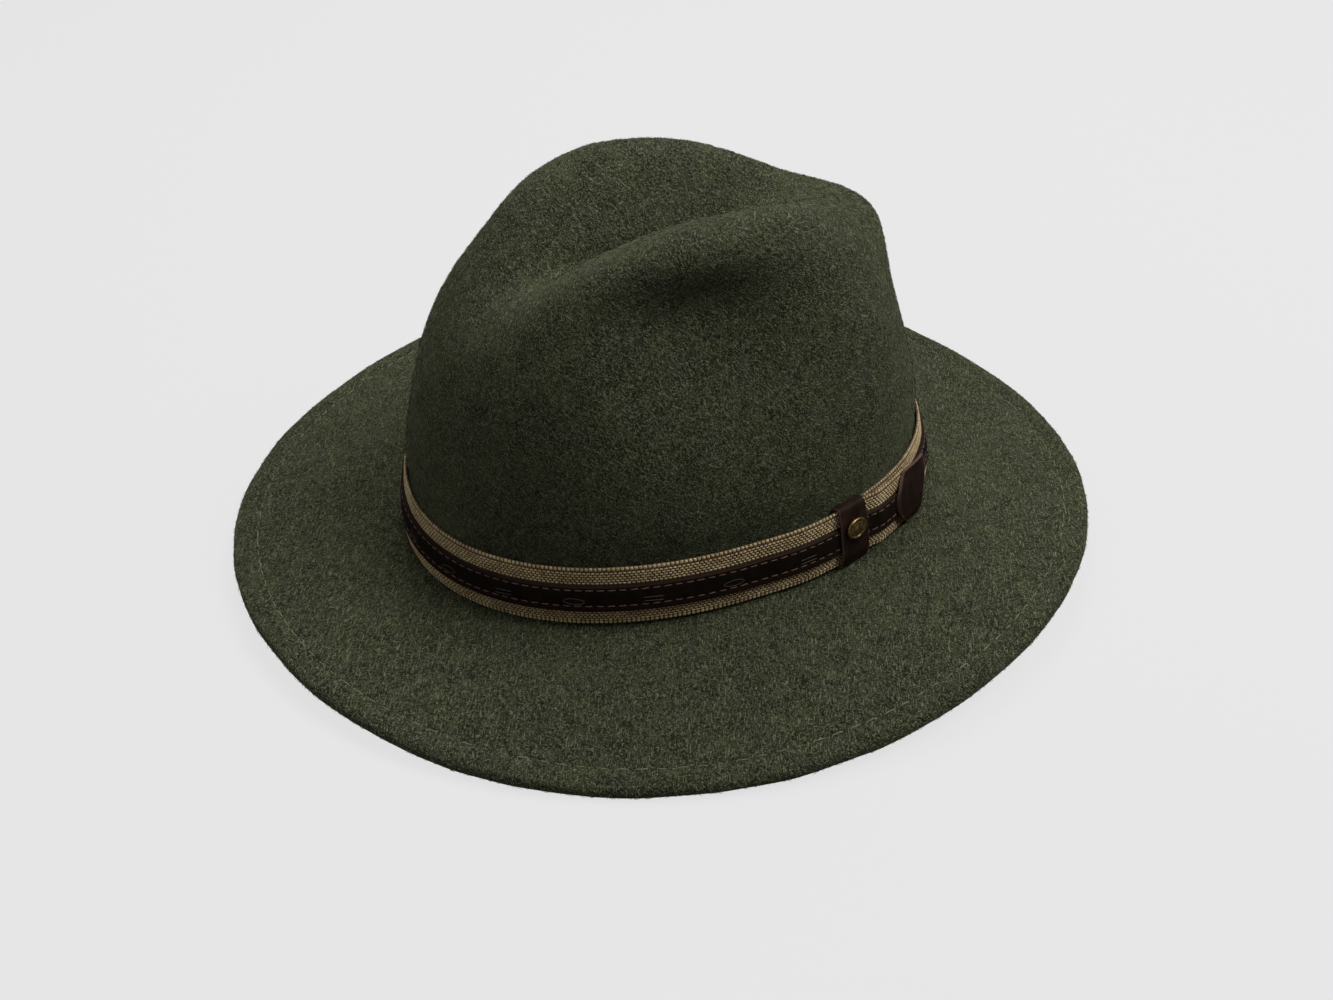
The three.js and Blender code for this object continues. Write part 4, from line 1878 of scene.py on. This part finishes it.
@dataclass
class Keeper:
    """Leather loop round the strap with a plain oval stud on it."""

    band: HatBand
    start: float = 99.4
    end: float = 106.7
    columns: int = 13
    edge_column: float = 0.22
    rounding: float = 1.5
    inner_rounding: float = 0.35
    back_rounding: float = 0.3
    corner_steps: int = 4
    wrap: Wrap = Wrap(low=0, full_from=4.4, full_to=16.2, high=21.7, depth=0.9)
    front_points: int = 16
    bevel: float = 0.22
    stud_angle: float = 103
    stud_rise: float = 14.2
    stud_half_width: float = 4.7
    stud_half_height: float = 3.9
    stud_half_span: float = 1.5
    stud_thickness: float = 1.6
    stud_gap: float = 0.05
    stud_sides: int = 48

    def front(self, angle: float, rise: float) -> float:
        """Distance of the loop's inner front face from the felt, less near its two folds."""
        return float(self.band.cover(angle, rise, self.wrap))

    def outline(self, angle: float, grow: float) -> Array:
        """Rounded outline of the loop across the strap at one angle.

        Args:
            angle: Where the loop is cut.
            grow: How far the outline lies outside the loop's inner face.

        Returns:
            Rows of distance from the felt and rise.
        """
        band = self.band
        low = -band.gap - grow
        high = band.height + band.gap + grow
        wide = self.rounding if grow else self.inner_rounding
        tight = min(wide, self.back_rounding)
        back = band.gap + band.leather - grow + tight
        corners = (
            Corner(self.front(angle, high) + grow - wide, high - wide, wide, 0),
            Corner(back, high - tight, tight, 90),
            Corner(back, low + tight, tight, 180),
            Corner(self.front(angle, low) + grow - wide, low + wide, wide, 270),
        )
        points = []
        for corner in corners:
            for k in range(self.corner_steps + 1):
                turn = math.radians(corner.first + 90 * k / self.corner_steps)
                out = corner.out + corner.radius * math.cos(turn)
                points.append((out, corner.rise + corner.radius * math.sin(turn)))
        for rise in np.linspace(low + wide, high - wide, self.front_points)[1:-1]:
            points.append((self.front(angle, rise) + grow, rise))
        return np.array(points)

    def build_loop(self, finish: LeatherFinish) -> bpy.types.Object:
        """Makes the loop.

        Args:
            finish: Its finish.

        Returns:
            The piece.
        """
        angles = graded(self.start, self.end, self.edge_column, self.columns - 2)
        shells = []
        for grow in (self.band.leather, 0.0):
            rows = np.array([self.outline(angle, grow) for angle in angles])
            shells.append(self.band.form.wall(angles[:, None], rows[..., 1], rows[..., 0]))
        around = shells[0].shape[1]
        inside = self.columns * around
        skin = skin_faces(self.columns, around).tolist()
        faces = skin + facing_in(skin, inside)
        last = inside - around
        for k in range(around):
            following = (k + 1) % around
            faces.append([k, following, following + inside, k + inside])
            faces.append([last + k, last + k + inside, last + following + inside, last + following])
        mesh = mesh_from("keeper", self.band.form.place(np.array(shells)), faces)
        cut = np.zeros((2, self.columns, around))
        cut[:, [0, -1]] = 1
        paint_attribute(mesh, "edge", cut.ravel())
        mesh = bevelled(mesh, self.bevel)
        return finish_piece("keeper_leather", mesh, finish.build(), ["keeper_loop"])

    def build_stud(self, finish: BrassFinish) -> bpy.types.Object:
        """Makes the oval stud: a low dome inside a raised rim.

        Args:
            finish: Its finish.

        Returns:
            The piece.
        """
        turns = np.arange(self.stud_sides) * math.tau / self.stud_sides
        circle = np.stack([np.cos(turns), np.sin(turns), np.ones_like(turns)], -1)
        rings = [circle * (ring.reach, ring.reach, ring.height) for ring in STUD_RINGS]
        points = np.concatenate([[[0, 0, 0]], *rings, [[0, 0, 1]]])
        points = points * (self.stud_half_width, self.stud_half_height, self.stud_thickness)
        place = self.band.form.wall
        angle, rise, reach = self.stud_angle, self.stud_rise, self.stud_half_height
        off = self.front(angle, rise) + self.band.leather + self.stud_gap
        up = unit(place(angle, rise + reach, off) - place(angle, rise - reach, off))
        span = self.stud_half_span
        along = unit(place(angle + span, rise, off) - place(angle - span, rise, off))
        facing = unit(np.cross(along, up))
        basis = np.stack([along, np.cross(facing, along), facing])
        points = self.band.form.place(points @ basis + place(angle, rise, off))
        mesh = mesh_from("stud", points, capped_faces(len(STUD_RINGS), self.stud_sides))
        return finish_piece("stud_brass", mesh, finish.build(), ["keeper_stud"])


@dataclass
class StrapTip:
    """Leather patch over the strap's end, with a curved edge towards the keeper."""

    band: HatBand
    corner_angle: float = 120.8
    bulge: float = 4.4
    low_end: float = 124.5
    high_end: float = 129.2
    wrap: Wrap = Wrap(low=0.2, full_from=4.6, full_to=16, high=21.5, depth=1)
    columns: int = 24
    rows: int = 30
    edge_cell: float = 0.35
    edge_share: float = 0.035
    bevel: float = 0.25

    def grid(self) -> tuple[Array, Array]:
        """Places of the patch's points.

        Returns:
            Angle and rise of each, in rows from its lower edge to its upper one.
        """
        low, high = self.wrap.low, self.wrap.high
        rises = graded(low, high, self.edge_cell, self.rows - 2)
        middle = (low + high) / 2
        start = self.corner_angle - self.bulge * (1 - ((rises - middle) / (high - middle)) ** 2)
        end = self.low_end + (self.high_end - self.low_end) * (rises - low) / (high - low)
        shares = graded(0, 1, self.edge_share, self.columns - 2)
        angles = start[:, None] + (end - start)[:, None] * shares
        return angles, np.broadcast_to(rises[:, None], angles.shape)

    def rim(self) -> list[int]:
        """Vertex numbers round the edge of the patch's front, in turn."""
        front = np.arange(self.rows * self.columns).reshape(self.rows, self.columns)
        return np.concatenate([front[:, 0], front[-1, 1:], front[-2::-1, -1], front[0, -2:0:-1]]).tolist()

    def build(self, finish: LeatherFinish) -> bpy.types.Object:
        """Makes the patch.

        Args:
            finish: Its finish.

        Returns:
            The piece.
        """
        band = self.band
        angles, rises = self.grid()
        off = band.cover(angles, rises, self.wrap)
        sides = [band.form.wall(angles, rises, off + thickness) for thickness in (band.leather, 0)]
        half = self.rows * self.columns
        skin = skin_faces(self.rows, self.columns, closed=False).tolist()
        faces = skin + facing_in(skin, half)
        rim = self.rim()
        for here, there in zip(rim, rim[1:] + rim[:1]):
            faces.append([there, there + half, here + half, here])
        mesh = mesh_from("tip", band.form.place(np.array(sides)), faces)
        cut = np.zeros((2, self.rows, self.columns))
        cut[:, [0, -1]] = 1
        cut[:, :, [0, -1]] = 1
        paint_attribute(mesh, "edge", cut.ravel())
        mesh = bevelled(mesh, self.bevel)
        return finish_piece("tip_leather", mesh, finish.build(), ["strap_tip"])


@dataclass(frozen=True)
class Viewpoint:
    """Camera of the photograph, in the hat's own frame."""

    azimuth: float = 59.42895
    elevation: float = 36.61535
    roll: float = -1.31732
    distance: float = 572.079
    focal_pixels: float = 1469.5447
    right_shift: float = 0.17668
    up_shift: float = 13.23232
    sensor: float = 36

    def build(self, form: HatForm) -> bpy.types.Object:
        """Makes the camera.

        Args:
            form: The hat, which places the camera in the frame that stands on the floor.

        Returns:
            The camera's object.
        """
        azimuth, elevation = math.radians(self.azimuth), math.radians(self.elevation)
        roll = math.radians(self.roll)
        flat = math.cos(elevation)
        back = Vector((math.sin(azimuth) * flat, -math.cos(azimuth) * flat, math.sin(elevation)))
        level = Vector((math.cos(azimuth), math.sin(azimuth), 0))
        upright = back.cross(level)
        right = level * math.cos(roll) + upright * math.sin(roll)
        up = upright * math.cos(roll) - level * math.sin(roll)
        place = back * self.distance - right * self.right_shift - up * self.up_shift
        data = bpy.data.cameras.new("camera")
        data.sensor_width = self.sensor
        data.lens = self.focal_pixels / PHOTO_WIDTH * self.sensor
        data.clip_start = 0.01
        camera = bpy.data.objects.new("camera", data)
        bpy.context.scene.collection.objects.link(camera)
        turn = Matrix((right, up, back)).transposed().to_4x4()
        camera.matrix_world = Matrix.Translation(Vector(form.place(np.array(place)))) @ turn
        bpy.context.scene.camera = camera
        return camera


@dataclass(frozen=True)
class SoftLight:
    """Square studio light that points at the hat."""

    name: str
    place: tuple[float, float, float]
    power: float
    size: float = 0.8

    def build(self, target: Vector) -> bpy.types.Object:
        """Makes the light.

        Args:
            target: The point that it faces.

        Returns:
            The light's object.
        """
        data = bpy.data.lights.new(self.name, "AREA")
        data.size = self.size
        data.energy = self.power
        light = bpy.data.objects.new(self.name, data)
        bpy.context.scene.collection.objects.link(light)
        light.location = self.place
        light.rotation_euler = (target - Vector(self.place)).to_track_quat("-Z", "Y").to_euler()
        return light


@dataclass
class Studio:
    """Plain pale floor and backdrop with soft lights."""

    pale: float = 0.822
    fill: float = 0.02
    floor_reach: float = 6
    floor_grey: float = 0.78
    floor_shadow: float = 0.12
    bounce_grey: float = 0.3
    aim_height: float = 0.05
    lights: tuple[SoftLight, ...] = (
        SoftLight("overhead_behind", (-0.723, 0.428, 1.17), power=7.5),
        SoftLight("overhead", (0, 0, 1.45), power=1.2),
        SoftLight("overhead_right", (0.428, 0.723, 1.17), power=11),
        SoftLight("overhead_left", (-0.428, -0.723, 1.17), power=1.2),
        SoftLight("front_left", (0.327, -1.078, 0.88), power=1.5),
    )

    def build_world(self) -> None:
        """Makes the backdrop, seen pale and lighting the hat only weakly."""
        world = bpy.data.worlds.new("studio")
        bpy.context.scene.world = world
        world.use_nodes = True
        maker = NodeMaker(world.node_tree)
        world.node_tree.nodes.clear()
        seen = maker.node("ShaderNodeBackground", None, {"Color": WHITE, "Strength": self.pale})
        lit = maker.node("ShaderNodeBackground", None, {"Color": WHITE, "Strength": self.fill})
        path = maker.node("ShaderNodeLightPath")
        sockets = {0: path.outputs["Is Camera Ray"], 1: lit.outputs[0], 2: seen.outputs[0]}
        mixed = maker.node("ShaderNodeMixShader", None, sockets)
        maker.node("ShaderNodeOutputWorld", None, {"Surface": mixed.outputs[0]})

    def floor_material(self) -> bpy.types.Material:
        """Makes the floor's material, which keeps a faint shadow and lights the hat only weakly.

        Returns:
            The material.
        """
        shader = Shader("pale_floor")
        glow = shader.node("ShaderNodeEmission", None, {"Color": WHITE, "Strength": self.pale})
        matt, dim = (
            shader.node("ShaderNodeBsdfDiffuse", None, {"Color": (grey, grey, grey, 1)})
            for grey in (self.floor_grey, self.bounce_grey)
        )
        sockets = {0: self.floor_shadow, 1: glow.outputs[0], 2: matt.outputs[0]}
        mixed = shader.node("ShaderNodeMixShader", None, sockets)
        path = shader.node("ShaderNodeLightPath")
        sockets = {0: path.outputs["Is Camera Ray"], 1: dim.outputs[0], 2: mixed.outputs[0]}
        shown = shader.node("ShaderNodeMixShader", None, sockets)
        shader.node("ShaderNodeOutputMaterial", None, {"Surface": shown.outputs[0]})
        return shader.material

    def build_floor(self) -> bpy.types.Object:
        """Makes the floor.

        Returns:
            The floor's object.
        """
        reach = self.floor_reach
        corners = [(-reach, -reach, 0), (reach, -reach, 0), (reach, reach, 0), (-reach, reach, 0)]
        mesh = bpy.data.meshes.new("floor")
        mesh.from_pydata(corners, [], [(0, 1, 2, 3)])
        mesh.materials.append(self.floor_material())
        floor = bpy.data.objects.new("floor", mesh)
        bpy.context.scene.collection.objects.link(floor)
        return floor

    def build(self) -> None:
        """Makes backdrop, floor and lights."""
        bpy.context.scene.view_settings.view_transform = "Standard"
        self.build_world()
        self.build_floor()
        for light in self.lights:
            light.build(Vector((0, 0, self.aim_height)))


def main() -> None:
    """Builds the hat's pieces in order and the studio round them."""
    logging.basicConfig(level=logging.INFO, format="%(message)s")
    form = HatForm()
    Viewpoint().build(form)
    Studio().build()
    felt = FeltBody(form)
    shell = felt.build(FeltFinish())
    felt.build_nap(shell, (
        HairFinish("nap_dark", (0.008, 0.009, 0.0045)),
        HairFinish("nap_green", (0.064, 0.068, 0.033)),
        HairFinish("nap_pale", (0.290, 0.303, 0.186)),
    ), density=150000)
    felt.build_stitches(ThreadFinish("brim_thread", (0.145, 0.15, 0.08), (0.30, 0.305, 0.18)))
    band = HatBand(form)
    # The ground's darker colour is partly painted shade in the gaps between the threads of the weave.
    ground = band.build_webbing(WebbingFinish("webbing_ground", (0.062, 0.040, 0.018), (0.21, 0.140, 0.067)))
    weave = band.build_weave(WebbingFinish("webbing_thread", (0.44, 0.31, 0.145), (0.95, 0.75, 0.43)))
    band.build_strip(LeatherFinish(
        "strip_leather",
        shade=(0.0064, 0.0033, 0.0016),
        light=(0.0148, 0.0073, 0.0034),
        edge=(0.023, 0.0095, 0.0055),
        roughness=0.5,
    ))
    band.build_stitches(ThreadFinish("strip_thread", (0.10, 0.055, 0.042), (0.22, 0.135, 0.11)))
    # The marks' lines are pale as a painted highlight along the edges of the pressed marks.
    band.build_marks(ThreadFinish("mark_line", (0.07, 0.05, 0.048), (0.15, 0.11, 0.11)))
    keeper = Keeper(band)
    keeper.build_loop(LeatherFinish(
        "keeper_leather",
        shade=(0.0125, 0.0052, 0.0030),
        light=(0.034, 0.0150, 0.0090),
        edge=(0.16, 0.088, 0.066),
        roughness=0.5,
    ))
    keeper.build_stud(BrassFinish())
    StrapTip(band).build(LeatherFinish(
        "tip_leather",
        shade=(0.0135, 0.0065, 0.0038),
        light=(0.030, 0.0150, 0.0092),
        edge=(0.17, 0.10, 0.075),
        roughness=0.55,
    ))


if __name__ == "__main__":
    main()
